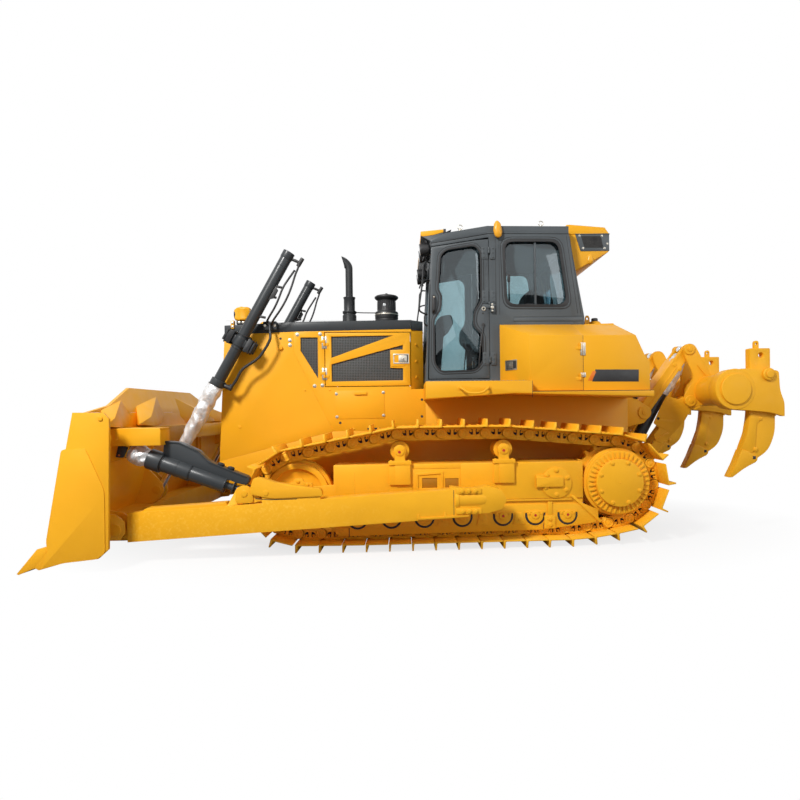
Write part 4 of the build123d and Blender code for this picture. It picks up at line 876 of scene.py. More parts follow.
def engine_bay():
    """Mesh, bolts, hinges and covers on the fixed side panels and the guard's sides."""
    bay = mesh_window(Solid("yellow"), PANEL_WINDOW, PANEL_Y - 24)
    bay.use("yellow")
    bay.prism(COVER, PANEL_Y, PANEL_Y + 4)
    bay.prism(soft_outline(((760, 1506), (893, 1506), (893, 1538), (760, 1538)), 6), PANEL_Y + 4, PANEL_Y + 20)
    bay.disc((1661, 2012), 24, PANEL_Y, PANEL_Y + 24, 24, 5)
    bay.disc((2100, 1180), 16, PANEL_Y, PANEL_Y + 5, 20, 2)
    for x in (1410, 1150, 900, 640):
        bay.bolt((x, PANEL_Y, 1118 + 22 if x < 1118 else 1560), (0, 1, 0), 9)
    bay.rings([[(284, 590, z), (150, 470, z), (150, 452, z), (284, 566, z)] for z in (1562, HOOD_SIDES[0])])
    slant = (-0.667, 0.745, 0)
    for z in (2042, 1862, 1690):
        bay.bolt((228, 540, z), slant, 11)
    # painted shade: thin dark discs and a dark strip for the shade in holes and a gap
    bay.use("dark")
    bay.disc((1660, 2109), 13, PANEL_Y, PANEL_Y + 1.2, 20, 0.3)
    for x, z in ((1045, 1208), (172, 1445), (174, 1265)):
        bay.disc((x, z), 14, PANEL_Y, PANEL_Y + 1.2, 20, 0.3)
    bay.box(620, 758, PANEL_Y, PANEL_Y + 0.8, 1132, 1150)
    bay.use("zinc")
    bay.bolts([(x, PANEL_Y, z) for x, z in ((1564, 2090), (1563, 2038), (1485, 2149), (1246, 2154), (1310, 1603),
                                           (1228, 1608))], (0, 1, 0), 13)
    bay.bolts([(x, PANEL_Y + 4, z) for x, z in ((1081, 1515), (585, 1527), (1078, 1271), (584, 1281))],
              (0, 1, 0), 11)
    for low, high in HINGE_STRIPS:
        bay.box(HINGE_X + 4, HINGE_X + 26, PANEL_Y, PANEL_Y + 4, low, high)
        for k in range(4):
            z = low + (k + 0.5) * (high - low) / 4
            bay.rod((HINGE_X, PANEL_Y + 5, z - 12), (HINGE_X, PANEL_Y + 5, z + 12), 6, 12, 1)
    bay.mirror().piece("engine_bay_trim", "root", "yellow_paint", 1.5)

    door = Solid("yellow")
    for window in DOOR_WINDOWS:
        mesh_window(door, window, PANEL_Y - 24)
    door.use("yellow").prism(soft_outline(((356, 1806), (496, 1806), (496, 1966), (356, 1966)), 8),
                             PANEL_Y, PANEL_Y + 5)
    door.prism(soft_outline(((296, 1820), (360, 1820), (360, 1948), (296, 1948)), 8), PANEL_Y, PANEL_Y + 3)
    paddle_latch(door, 304, 474, 1832, 1938, PANEL_Y + 3)
    door.use("zinc")
    for low, high in HINGE_STRIPS:
        door.box(HINGE_X - 26, HINGE_X - 9, PANEL_Y, PANEL_Y + 4, low, high)
    door.handed("engine_door_trim", "engine_door", "yellow_paint", bevel=1.0)


def hood_trim():
    """Rear corners of the hood, its seams, filler cover and bolts."""
    hood = Solid("grey")
    plan = [(x, y) for x, y in HOOD_EXTENSION]
    hood.rings([[(x, y, z) for x, y in plan] for z in (HOOD_SIDES[0], HOOD_SIDES[1])])
    hood.rings([[(x, y, 2304) for x, y in ((2150, -250), (2150, 250), (330, 250), (330, -250))],
                [(x, y, z) for x, y, z in ((2100, -240, 2290), (2100, 240, 2290), (340, 240, 2316),
                                           (340, -240, 2316))]])
    hood.turn((1900, 0, 2276), (0, 0, 1), ((0, 92), (14, 92), (22, 84), (26, 20)), 40)
    for x in range(420, 2200, 260):
        for y in (-545, 545):
            z = 2302 - (x - 277) * 0.0128 if x < 1525 else 2286 - (x - 1525) * 0.05
            hood.bolt((x, y, z), (0, 0, 1), 9)
    hood.use("black")
    for y in (-560, 560):
        hood.box(300, 2230, y - 2, y + 2, 2304, 2304.5)
    hood.piece("hood_trim", "root", "dark_paint", 3.0)


def guard_front():
    """Louvres, frame bolts and tow pin at the front of the radiator guard."""
    front = Solid("mesh")
    for k in range(27):
        z = 1000 + k * 39
        x = 2278 - (z - 980) * 48 / 1080
        front.prism(((x, z), (x + 16, z - 9), (x + 18, z - 5), (x + 3, z + 6)), -462, 462)
    for y in (-300, -100, 100, 300):
        front.rings([[(x + a, y + b, z) for a, b in ((0, -7), (22, -7), (22, 7), (0, 7))]
                     for x, z in ((2276, 985), (2229, 2055))])
    front.use("yellow")
    for side in (LEFT, RIGHT):
        front.bolts([(2306 - (z - 918) * 62 / 1234, side * 530, z) for z in (1020, 1260, 1500, 1740, 1980)],
                    (1, 0, 0.05), 14)
    front.bolts([(2303, y, 950) for y in (-400, -200, 0, 200, 400)], (1, 0, 0.05), 14)
    front.use("steel")
    front.turn((2360, 0, 600), (0, 0, 1), ((0, 25), (182, 25), (186, 40), (196, 40), (200, 34)), 24)
    front.piece("radiator_guard_front", "root", "grille_mesh", 1.5)


def headlamps():
    """Wrapped headlamps on their brackets at the front corners of the hood."""
    for side, hand in ((LEFT, "left"), (RIGHT, "right")):
        wrapped = Solid("yellow")
        rings = []
        for i in range(15):
            t = i / 14
            share = 1 - 0.22 * abs(2 * t - 1) ** 3
            rings.append([(1985 + 150 * t, 540 + 66 * share * a / 100, 2372 + 76 * share * b / 100)
                          for a, b in soft_outline(((-100, -100), (100, -100), (100, 100), (-100, 100)), 45, 6)])
        wrapped.rings(rings)
        wrinkle(wrapped, 11, 44)
        if side == RIGHT:
            wrapped.flip()
        wrapped.piece(f"headlamp_wrap_{hand}", "root", "yellow_paint", 0, angle=60)
    lamp = Solid("black")
    lamp.box(1978, 2120, 500, 585, 2262, 2296)
    lamp.turn((2130, 540, 2372), (1, 0, 0), ((0, 58), (10, 58), (14, 54)), 32)
    lamp.use("lamp").turn((2140, 540, 2372), (1, 0, 0), ((0, 50), (6, 46), (9, 20)), 32)
    lamp.use("yellow").box(2142, 2174, 545, 600, 2214, 2300)
    lamp.use("zinc").bolts([(x, 585, 2282) for x in (2010, 2050, 2090)], (0, 1, 0), 9)
    lamp.bolts([(2158, 600, z) for z in (2236, 2276)], (0, 1, 0), 9)
    lamp.mirror().piece("headlamps", "root", "black_plastic", 2.0)


# ------------------------------------------------------ exhaust and precleaner
EXHAUST_X, PRECLEANER_X = 985, 555
HOOD_LINE = 2296


def stack():
    """Exhaust sleeve with its curved tail pipe."""
    pipe = Solid("ink")
    pipe.turn((EXHAUST_X, 0, 0), (0, 0, 1), ((HOOD_LINE, 104), (HOOD_LINE + 12, 104), (HOOD_LINE + 20, 80),
                                            (2440, 80), (2452, 72), (2468, 68), (2468, 80), (2492, 80),
                                            (2492, 64), (2630, 64), (2648, 70), (2655, 70), (2655, 52),
                                            (2640, 50)), 40)
    rings = []
    for k in range(17):
        t = min(1.0, k / 12)
        a = radians(180 - 106 * t)
        half = 42 + 14 * t
        x, z = EXHAUST_X + 71 * t ** 1.6, 2985 + 96 * t ** 0.85
        if k > 12:
            half, x, z = half - 5, x - 16 * (k - 12), z - 12 * (k - 12)
        if k == 0:
            rings.append([(EXHAUST_X - 42 * cos(b), 42 * sin(b), 2500) for b in
                          (2 * pi * i / 32 for i in range(32))])
        rings.append([(x + half * cos(a) * cos(b), (half if k < 13 else half - 2) * sin(b) * (42 / max(42, half)),
                       z + half * sin(a) * cos(b)) for b in (2 * pi * i / 32 for i in range(32))])
    pipe.rings(rings[:14], cap=False)
    # painted shade: the tail pipe's mouth is dark inside
    pipe.use("dark").rings(rings[13:])
    pipe.use("black")
    pipe.tube(((EXHAUST_X - 78, 0, 2480), (840, 0, 2476), (PRECLEANER_X + 132, 0, 2474)), 6)
    pipe.use("zinc").bolts([(EXHAUST_X + 88 * cos(a), 88 * sin(a), HOOD_LINE + 12) for a in
                            (radians(d) for d in range(30, 390, 60))], (0, 0, 1), 9)
    pipe.piece("exhaust_stack", "root", "exhaust_steel", 2.0, replaces=("exhaust_pipe",))


def air_precleaner():
    """Ribbed precleaner bowl with its cap, band and sight window."""
    bowl = Solid("black")
    bowl.turn((PRECLEANER_X, 0, 0), (0, 0, 1), ((HOOD_LINE, 76), (2330, 76), (2344, 112), (2360, 131), (2384, 134),
                                               (2392, 130), (2400, 134), (2470, 135), (2480, 130), (2488, 110),
                                               (2500, 106), (2604, 104), (2616, 108), (2628, 124), (2640, 136),
                                               (2650, 139), (2658, 137), (2670, 120), (2680, 80), (2686, 10)), 48)
    bowl.turn((PRECLEANER_X, 0, 2684), (0, 0, 1), ((0, 16), (14, 16), (18, 10)), 20)
    for k in range(24):
        a = 2 * pi * k / 24
        x, y = PRECLEANER_X + 106 * cos(a), 106 * sin(a)
        bowl.rod((x, y, 2502), (x * 0.99 + PRECLEANER_X * 0.01, y * 0.99, 2604), 3, 8)
    bowl.use("zinc").ring((PRECLEANER_X, 0, 2440), (0, 0, 1), 138, 133, 14, 48, 1)
    bowl.use("lamp")
    for side in (LEFT, RIGHT):
        bowl.turn((PRECLEANER_X + 20, side * 100, 2550), (0.16, side, 0), ((0, 19), (7, 18), (9, 12)), 24)
    bowl.piece("precleaner_bowl", "root", "black_plastic", 1.5, replaces=("precleaner",))


engine_bay()
hood_trim()
guard_front()
headlamps()
stack()
air_precleaner()


# ------------------------------------------------------------------- the cab
CAB_Y = 800
DOOR_FACE = 806
DOOR_WINDOW = ((-29, 2940), (-92, 3000), (-390, 3050), (-455, 2976), (-456, 2464), (-381, 2349),
               (-372, 2203), (-466, 2112), (-470, 1833), (-388, 1739), (-21, 1728), (44, 1810),
               (45, 2274), (-29, 2378), (-38, 2523), (-3, 2582))
SIDE_WINDOW = ((-699, 3095), (-1281, 3097), (-1377, 2417), (-721, 2420))
HINGE_BLOCKS = ((1794, 1928), (2440, 2573), (2900, 3025))


def cab_windows():
    """Rubber seals and pressed beads round the side windows, with the slider's bars."""
    seals = Solid("seal")
    rounding = [95, 95, 110, 100]
    outer = soft_outline(grow(SIDE_WINDOW, 20), [110] * 4)
    inner = soft_outline(grow(SIDE_WINDOW, -10), rounding)
    seals.prism(outer, CAB_Y - 14, CAB_Y + 5, holes=[inner])
    seals.use("grey")
    seals.prism(soft_outline(grow(SIDE_WINDOW, 34), [120] * 4), CAB_Y, CAB_Y + 4,
                holes=[soft_outline(grow(SIDE_WINDOW, 21), [110] * 4)])
    seals.use("seal")
    seals.prism(soft_outline(grow(SIDE_WINDOW, 42), [125] * 4), CAB_Y, CAB_Y + 2,
                holes=[soft_outline(grow(SIDE_WINDOW, 34.5), [120] * 4)])
    seals.use("grey").box(-1041, -1021, CAB_Y - 24, CAB_Y - 12, 2422, 3094)
    seals.use("black").box(-764, -736, CAB_Y - 24, CAB_Y - 6, 2668, 2748)
    seals.box(-1010, -930, CAB_Y - 24, CAB_Y - 12, 2424, 2436)
    seals.use("grey")
    seals.prism(((-790, 2252), (-1528, 2252), (-1522, 2290), (-800, 2282)), CAB_Y, CAB_Y + 7)
    seals.use("seal").prism(((-795, 2294), (-1521, 2302), (-1521, 2306), (-795, 2298)), CAB_Y, CAB_Y + 1)
    for x in (-612, -650):
        seals.box(x, x + 4, CAB_Y, CAB_Y + 1, 2320, 3150)
    for shift in (0, 34):
        seals.prism(((-1400 + shift, 3150), (-1395 + shift, 3150), (-1508 + shift, 2330), (-1513 + shift, 2330)),
                    CAB_Y, CAB_Y + 1)
    seals.mirror().piece("cab_window_seals", "root", "dark_paint", 1.5)


def cab_door_trim():
    """Window seal, handle, hinge leaves, wiper and stop bolts of the cab doors."""
    door = Solid("seal")
    frame_strip(door, DOOR_WINDOW, 9, -9, DOOR_FACE - 8, DOOR_FACE + 5, 46)
    frame_strip(door, DOOR_WINDOW, 30, 23, DOOR_FACE, DOOR_FACE + 3, 60)
    door.use("grey")
    frame_strip(door, DOOR_WINDOW, 22, 10, DOOR_FACE, DOOR_FACE + 3, 52)
    for low, high in HINGE_BLOCKS:
        door.prism(soft_outline(((-528, low), (-462, low), (-462, high), (-528, high)), 10), DOOR_FACE, DOOR_FACE + 7)
        door.bolts([(-483, DOOR_FACE + 7, low + d) for d in (22, 67, 112)], (0, 1, 0), 8)
    door.use("black")
    door.prism(soft_outline(((20, 2328), (66, 2328), (62, 2528), (24, 2528)), 18), DOOR_FACE, DOOR_FACE + 8)
    door.tube(((44, DOOR_FACE + 6, 2350), (44, DOOR_FACE + 34, 2362), (43, DOOR_FACE + 36, 2430),
               (43, DOOR_FACE + 34, 2500), (43, DOOR_FACE + 6, 2512)), 14)
    door.disc((-470, 2215), 17, DOOR_FACE, DOOR_FACE + 16)
    door.rod((-470, DOOR_FACE + 12, 2215), (-446, DOOR_FACE + 8, 1990), 6)
    door.rod((-452, DOOR_FACE + 4, 2120), (-418, DOOR_FACE + 4, 1765), 7)
    door.use("zinc")
    door.disc((40, 2498), 8, DOOR_FACE + 46, DOOR_FACE + 52, 16)
    door.ring((-477, DOOR_FACE, 2382), (0, 1, 0), 22, 11, 10)
    # painted shade: dark discs in the ring's hole and in a stop hole
    door.use("dark").disc((-477, 2382), 12, DOOR_FACE, DOOR_FACE + 1.5, 20, 0.4)
    door.disc((-470, 2335), 9, DOOR_FACE, DOOR_FACE + 4, 16, 1)
    door.handed("cab_door_trim", "cab_door", "dark_paint", bevel=1.5)

    post = Solid("grey")
    for low, high in HINGE_BLOCKS:
        post.prism(soft_outline(((-604, low), (-549, low), (-549, high), (-604, high)), 10), CAB_Y, CAB_Y + 13)
        post.bolts([(-582, CAB_Y + 13, low + d) for d in (22, 67, 112)], (0, 1, 0), 8)
    post.prism(soft_outline(((-592, 2345), (-549, 2345), (-549, 2436), (-592, 2436)), 8), CAB_Y, CAB_Y + 30)
    post.use("zinc").disc((-566, 2393), 17, CAB_Y + 30, CAB_Y + 38, 20)
    post.bolts([(-566, CAB_Y + 30, 2425), (-566, CAB_Y + 30, 2358)], (0, 1, 0), 7)
    post.mirror().piece("cab_hinge_posts", "root", "dark_paint", 1.5)


def cab_roof_trim():
    """Visor lamps, lifting rings, wrapped beacons, rails and gutters round the roof."""
    visor = Solid("yellow")
    visor.prism(((-90, 3196), (40, 3160), (140, 3146), (168, 3154), (168, 3199), (-60, 3222), (-90, 3216)), -764, 764)
    visor.use("ink").prism(((-88, 3180), (66, 3108), (150, 3144), (140, 3150), (40, 3162), (-88, 3198)), -758, 758)
    visor.piece("visor_shell", "root", "yellow_paint", 6.0, 3)

    roof = Solid("black")
    for y in (705, 430):
        roof.turn((62, y, 3030), (1, 0, -0.12), ((0, 34), (24, 60), (96, 66), (112, 66), (118, 60)), 32)
        roof.rod((104, y, 3090), (104, y, 3128), 14, 12)
    roof.use("lamp")
    for y in (705, 430):
        roof.turn((176, y, 3016), (1, 0, -0.12), ((0, 56), (6, 52), (9, 20)), 32)
    roof.use("black")
    roof.tube(((100, 700, 2975), (140, 715, 2940), (150, 710, 2905)), 9)
    roof.tube(((90, 640, 2980), (110, 650, 2950), (104, 655, 2920)), 9)
    roof.prism(((-96, 3178), (-70, 3178), (-70, 3226), (-96, 3226)), 560, 768)
    roof.prism(((-150, 3204), (-92, 3178), (-92, 3184), (-150, 3210)), 0, CAB_Y)
    roof.use("seal").prism(((60, 3064), (-524, 3164), (-524, 3170), (60, 3070)), CAB_Y, CAB_Y + 5)
    roof.use("grey").prism(((-528, 3170), (-1390, 3170), (-1390, 3180), (-528, 3180)), CAB_Y, CAB_Y + 6)
    roof.use("zinc")
    for x, z in ((-245, 3218), (-1101, 3262)):
        roof.turn((x, 770, z - 14), (0, 0, 1), ((0, 16), (10, 16), (12, 9), (24, 8)), 16)
        roof.rings([[(x + (24 + 5 * cos(b)) * cos(a), 770 + 5 * sin(b), z + 24 + (24 + 5 * cos(b)) * sin(a))
                     for b in (2 * pi * j / 10 for j in range(10))] for a in (2 * pi * i / 28 for i in range(28))],
                   closed=True)
    roof.mirror().piece("cab_roof_trim", "root", "dark_paint", 1.5)

    for side, hand in ((LEFT, "left"), (RIGHT, "right")):
        beacon = oval(Solid("amber"), (-632, 832, 3208), (44, 30, 88), lean=6)
        oval(beacon, (-1664, 640, 2948), (40, 36, 60))
        wrinkle(beacon, 5, 30)
        if side == RIGHT:
            beacon.flip()
        beacon.piece(f"wrapped_lamps_{hand}", "root", "yellow_paint", 0, angle=70)
    arm = Solid("grey")
    arm.box(-650, -614, CAB_Y - 4, CAB_Y + 20, 3126, 3150)
    arm.box(-1676, -1652, 600, 655, 2996, 3030)
    arm.mirror().piece("lamp_arms", "root", "dark_paint", 1.5)

    rails = Solid("ink")
    rails.tube(((76, 735, 2878), (112, 762, 2888), (146, 790, 2846), (158, 796, 2650), (192, 800, 2430),
                (194, 800, 2362), (150, 780, 2340), (112, 745, 2334)), 9, 14, 0.4)
    rails.tube(((112, 745, 2338), (138, 772, 2320), (142, 776, 2230), (112, 745, 2214)), 8, 12, 0.4)
    rails.tube(((84, 735, 2690), (122, 770, 2690), (156, 794, 2672)), 9, 12, 0.4)
    rails.mirror().piece("cab_grab_rails", "root", "dark_paint", 0)


def air_unit():
    """Roof-mounted air conditioner: cap, dark sides with their vents, rear louvres."""
    cap = Solid("yellow")
    cap.prism(((-1404, 3306), (-1442, 3308), (-1822, 3280), (-1868, 3216), (-1500, 3206), (-1404, 3206)), -668, 668)
    cap.use("grey").box(-1874, -1862, -662, 662, 3030, 3212)
    cap.use("black")
    for y in range(-560, 600, 80):
        cap.box(-1878, -1872, y - 34, y + 34, 3060, 3180)
    cap.piece("air_unit_cap", "root", "yellow_paint", 4.0)
    unit = Solid("grey")
    unit.prism(((-1500, 3206), (-1868, 3214), (-1872, 3030), (-1556, 3024)), 655, 666)
    unit.prism(((-1500, 3210), (-1876, 3214), (-1876, 3206), (-1502, 3202)), 655, 670)
    unit.use("zinc")
    unit.bolts([(x, 666, z) for x, z in ((-1544, 3190), (-1791, 3191), (-1583, 3056), (-1818, 3057), (-1850, 3105))],
               (0, 1, 0), 8)
    # painted shade: a dark sheet behind the vent's slats
    unit.use("dark").prism(((-1560, 3186), (-1780, 3188), (-1802, 3062), (-1600, 3062)), 666, 668)
    vent = ((-1560, 3186), (-1780, 3188), (-1802, 3062), (-1600, 3062))
    unit.use("black")
    for k in range(9):
        z = 3070 + k * 13.5
        for start, end in stretches(list(vent), z, 0):
            unit.box(start, end, 667, 671, z - 2.5, z + 2.5)
    unit.mirror().piece("air_unit_trim", "root", "yellow_paint", 1.5)


cab_windows()
cab_door_trim()
cab_roof_trim()
air_unit()


# ------------------------------------------------------- boxes, tank and decks
BOX_Y = 1200
DECK_Y = 1300
CHAMFER_REAR, CHAMFER_FRONT = (-877, 1200), (-644, 800)
BOX_SLOPE = (2214 - 2050) / 400


def box_top(y):
    """Height of the box's sloping top."""
    return 2050 + (BOX_Y - y) * BOX_SLOPE


def chamfer_place(s, z, out):
    """Point on the box's front chamfer: s along it from its front end, out from its face."""
    run = Vector(CHAMFER_REAR) - Vector(CHAMFER_FRONT)
    run.normalize()
    face = Vector((-run.y, run.x)) * -1
    if face.y < 0:
        face = -face
    place = Vector(CHAMFER_FRONT) + run * s + face * out
    return (place.x, place.y, z)


def box_covers():
    """Wrap-round covers of the side boxes, with their latches and hinges."""
    cover = Solid("yellow")
    y = BOX_Y + 4
    corner, front = chamfer_place(463, 0, 4.6), chamfer_place(14, 0, 4.6)
    places = [(-1402, y, 1512), (-877, y, 1512), (-877, y, 1614), (corner[0], y, 1614), (corner[0], y, box_top(y) + 5),
              (-1402, y, box_top(y) + 5), (front[0], front[1], 1614), (front[0], front[1], box_top(front[1]) + 5),
              (-1402, front[1], box_top(front[1]) + 5)]
    verts = cover.verts(places)
    made = []
    for loop in ((0, 1, 2, 3, 4, 5), (3, 6, 7, 4), (5, 4, 7, 8)):
        made.append(cover.bm.faces.new([verts[i] for i in loop]))
    bmesh.ops.recalc_face_normals(cover.bm, faces=made)
    if made[0].normal.y < 0:
        bmesh.ops.reverse_faces(cover.bm, faces=made)
    bmesh.ops.solidify(cover.bm, geom=made, thickness=3.6 * MM)
    paddle_latch(cover, 96, 276, 1728, 1832, 5, chamfer_place)
    cover.use("zinc")
    for low, high in ((1638, 1682), (1852, 1978)):
        cover.box(-1396, -1378, y, y + 4, low, high)
    cover.handed("box_cover", "box_door", "yellow_paint", bevel=2.0)


def tank_and_decks():
    """Band and slash on the tank, filler, hinge leaves, grab handles and tread plates."""
    band = Solid("black")
    band.prism(((-1494, 1593), (-1528, 1712), (-1966, 1708), (-1964, 1588)), BOX_Y, BOX_Y + 1.6)
    band.use("orange").prism(((-1451, 1602), (-1503, 1702), (-1535, 1689), (-1494, 1602)), BOX_Y, BOX_Y + 2.2)
    band.use("zinc")
    for low, high in ((1638, 1682), (1852, 1978)):
        band.box(-1430, -1410, BOX_Y, BOX_Y + 4, low, high)
        band.rod((-1406, BOX_Y + 7, low), (-1406, BOX_Y + 7, high), 6, 12, 1)
    band.use("seal").box(-1409, -1406, BOX_Y, BOX_Y + 0.8, 1508, 2050)
    band.mirror().piece("tank_band_and_hinges", "root", "yellow_paint", 0.4)

    tank = Solid("yellow")
    tank.turn((-1752, 500, 2226), (0, 0, 1), ((0, 74), (26, 74), (44, 66), (60, 52)), 40)
    tank.prism(((-1632, 2222), (-1694, 2222), (-1690, 2330), (-1676, 2352), (-1652, 2352), (-1640, 2330)),
               505, 521, holes=[circle((-1664, 2318), 13, 20)])
    tank.use("black").turn((-1752, 500, 2286), (0, 0, 1), ((0, 34), (8, 36), (30, 36), (38, 30)), 24)
    tank.use("zinc").bolts([(-1752 + 62 * cos(a), 500 + 62 * sin(a), 2252) for a in
                            (radians(d) for d in range(0, 360, 60))], (0, 0, 1), 7)
    tank.use("yellow")
    tank.bolts([(-2079, y, z) for y in (-1120, -700, 0, 700, 1120) for z in (1540, 1740)], (-1, 0, 0), 12)
    tank.piece("tank_filler", "root", "yellow_paint", 2.0)

    deck = Solid("yellow")
    deck.tube(((-175, 1296, 1541), (-184, 1342, 1538), (-240, 1362, 1490), (-312, 1364, 1484), (-384, 1362, 1490),
               (-443, 1342, 1538), (-452, 1296, 1541)), 11, 14, 0.45)
    for x in (-175, -452):
        deck.disc((x, 1541), 24, 1298, 1306, 24)
    deck.use("grey")
    for y0, y1 in ((1050, 1270), (830, 1010)):
        deck.box(-560 if y0 < 1000 else -830, 130, y0, y1, 1604, 1609)
    deck.use("seal")
    deck.box(-2075, -878, DECK_Y, DECK_Y + 0.8, 1497, 1501)
    deck.box(-878, -874, DECK_Y, DECK_Y + 0.8, 1440, 1602)
    deck.mirror().piece("deck_trim", "root", "yellow_paint", 1.0)

    studs = Solid("steel")
    for y0, y1, x0 in ((1050, 1270, -830), (830, 1010, -560)):
        for x in range(x0 + 25, 120, 40):
            for y in range(y0 + 20, y1 - 10, 40):
                studs.turn((x, y, 1608), (0, 0, 1), ((0, 9), (4, 7)), 8)
    studs.mirror().piece("deck_studs", "root", "yellow_paint", 0)

box_covers()
tank_and_decks()



# --------------------------------------------------------------- undercarriage
FRAME_Y = 1200
GUARD_Y = 1212
ROLLER_LINE = 314
OPENINGS = (((50, 574), (197, 574), (197, 672), (50, 672)), ((-159, 574), (-26, 574), (-26, 665), (-159, 665)))
PIVOT_COVER = (-1118, 605)
TICKED_ROLLERS = ROLLER_XS[-3:]


def drive_trim():
    """Ribs, cover bolts and centre mark of the drives, and bearing blocks of the idlers."""
    drive = Solid("cast")
    x, z = SPROCKET
    for k in range(38):
        a = 2 * pi * (k + 0.5) / 38
        drive.prism([(x + r * cos(a) - t * sin(a), z + r * sin(a) + t * cos(a))
                     for r, t in ((240, -9), (298, -7), (305, 0), (298, 7), (240, 9))], 1262, 1277)
    for k in range(8):
        a = radians(22.5 + 45 * k)
        drive.bolt((x + 205 * cos(a), 1312, z + 205 * sin(a)), (0, 1, 0), 15)
    drive.disc(SPROCKET, 8, 1311, 1315, 16, 1)
    x, z = IDLER
    drive.ring((x, 1116, z), (0, 1, 0), 242, 232, 8, 56, 3)
    drive.prism(soft_outline(((1255, 590), (1255, 640), (1330, 652), (1350, 688), (1425, 690), (1440, 650),
                              (1495, 640), (1495, 590)), 12), 1165, 1194)
    drive.bolts([(px, 1194, pz) for px, pz in ((1300, 628), (1388, 660), (1465, 622))], (0, 1, 0), 14)
    # painted shade: a dark disc for a hole by the idler
    drive.use("dark").disc((1382, 713), 13, 1116, 1120, 20, 0.4)
    drive.mirror().piece("drive_trim", "root", "yellow_track", 2.0)


def cheek_strip(solid, x0, x1, section):
    """Bar along the track frame with the given (y, z) section."""
    solid.rings([[(x, y, z) for y, z in section] for x in (x0, x1)])


def track_frame_trim():
    """Sloping cheeks, openings, pivot covers and edges on the track frames' outer sides."""
    cheek = Solid("cast")
    section = ((FRAME_Y - 2, 808), (1206, 802), (1213, 745), (1214, 700), (1214, 452), (FRAME_Y - 2, 446))
    cheek_strip(cheek, 290, 1035, section)
    cheek_strip(cheek, -1385, -180, section)
    cheek_strip(cheek, -180, 290, ((FRAME_Y - 2, 808), (1206, 802), (1211, 764), (FRAME_Y - 2, 760)))
    cheek.prism(((290, 446), (290, 764), (-180, 764), (-180, 446)), FRAME_Y - 2, 1207, holes=OPENINGS)
    cheek.prism(((262, 560), (262, 722), (-8, 740), (-8, 560)), 1206, 1216,
                holes=[((236, 570), (236, 700), (16, 712), (16, 570))])
    cheek.box(-1275, 1035, FRAME_Y - 2, 1220, 430, 447)
    cheek.box(846, 852, 1212, 1216, 450, 745)
    x, z = PIVOT_COVER
    cheek.prism(soft_outline(((-916, 567), (-916, 661), (-1183, 661), (-1183, 567)), 8), 1226, 1248)
    cheek.prism(soft_outline(((-916, 556), (-916, 683), (-990, 683), (-990, 556)), 8), 1212, 1238)
    for k in range(6):
        a = radians(90 + 60 * k + (8 if k % 3 else 0))
        cheek.bolt((x + 118 * cos(a), 1228, z + 118 * sin(a)), (0, 1, 0), 17)
    # painted shade: darker casting behind the openings stands for the shade inside
    cheek.use("shade")
    for opening in OPENINGS:
        cheek.prism(grow(opening, -1), FRAME_Y - 2, FRAME_Y + 0.8)
    cheek.mirror().piece("track_frame_cheeks", "root", "yellow_track", 2.5)


def half_round(centre, radius, level, sides=20):
    """Part of a circle below a level line."""
    a = asin((level - centre[1]) / radius)
    return [(centre[0] + radius * cos(b), centre[1] + radius * sin(b))
            for b in (pi - a + (pi + 2 * a) * k / sides for k in range(sides + 1))]


def roller_guards():
    """Skirts over the links, the rollers' ends that show in them, ribs and bolted joints."""
    guard = Solid("cast")
    guard.prism(soft_outline(((1150, 300), (1085, 215), (1000, 126), (-990, 146), (-1500, 205), (-1535, 240),
                              (-1535, 330), (-1385, 395), (1040, 395)), 10), FRAME_Y - 1, GUARD_Y)
    for x in ROLLER_XS:
        centre = (x, ROLLER_Z)
        # painted shade: a dark half ring below each roller's end
        guard.use("dark").prism(half_round(centre, 100, ROLLER_LINE), GUARD_Y, GUARD_Y + 1)
        guard.use("cast").prism(half_round(centre, 78, ROLLER_LINE), GUARD_Y, GUARD_Y + 10)
        guard.disc((x, ROLLER_Z + 2), 38, GUARD_Y + 8, GUARD_Y + 18, 28, 3)
        guard.box(x - 96, x + 96, GUARD_Y, GUARD_Y + 12, ROLLER_LINE, ROLLER_LINE + 14)
        guard.bolts([(x + d, GUARD_Y + 8, 306) for d in (-62, 62)], (0, 1, 0), 13)
        if x in TICKED_ROLLERS:
            guard.use("red").disc((x, ROLLER_Z + 2), 13, GUARD_Y + 17, GUARD_Y + 19, 16, 0.5)
    guard.use("cast")
    for one, two in zip(ROLLER_XS, ROLLER_XS[1:]):
        middle = (one + two) / 2
        if middle < -1000:
            continue
        guard.prism(((middle - 32, ROLLER_LINE + 6), (middle + 32, ROLLER_LINE + 6), (middle + 58, 205),
                     (middle - 58, 205)), GUARD_Y, GUARD_Y + 8)
        guard.disc((middle, 252), 11, GUARD_Y + 8, GUARD_Y + 14, 16)
    guard.prism(soft_outline(((-995, 157), (-995, 286), (-1102, 286), (-1102, 157)), 12), GUARD_Y, GUARD_Y + 16)
    guard.box(-1075, -1030, GUARD_Y, GUARD_Y + 10, 286, 420)
    guard.bolts([(-1050, GUARD_Y + 16, z) for z in (250, 193)], (0, 1, 0), 17)
    guard.prism(soft_outline(((915, 135), (915, 209), (1033, 209), (1033, 150)), 10), GUARD_Y, GUARD_Y + 12)
    guard.bolt((972, GUARD_Y + 12, 174), (0, 1, 0), 16)
    guard.prism(((-1258, 472), (-1282, 480), (-1568, 222), (-1548, 204)), GUARD_Y - 2, GUARD_Y + 12)
    guard.use("dark")
    for x in (905, -986):
        guard.box(x - 3, x + 3, GUARD_Y, GUARD_Y + 0.8, 118 if x > 0 else 150, 205)
    guard.mirror().piece("roller_guards", "root", "yellow_track", 2.0)


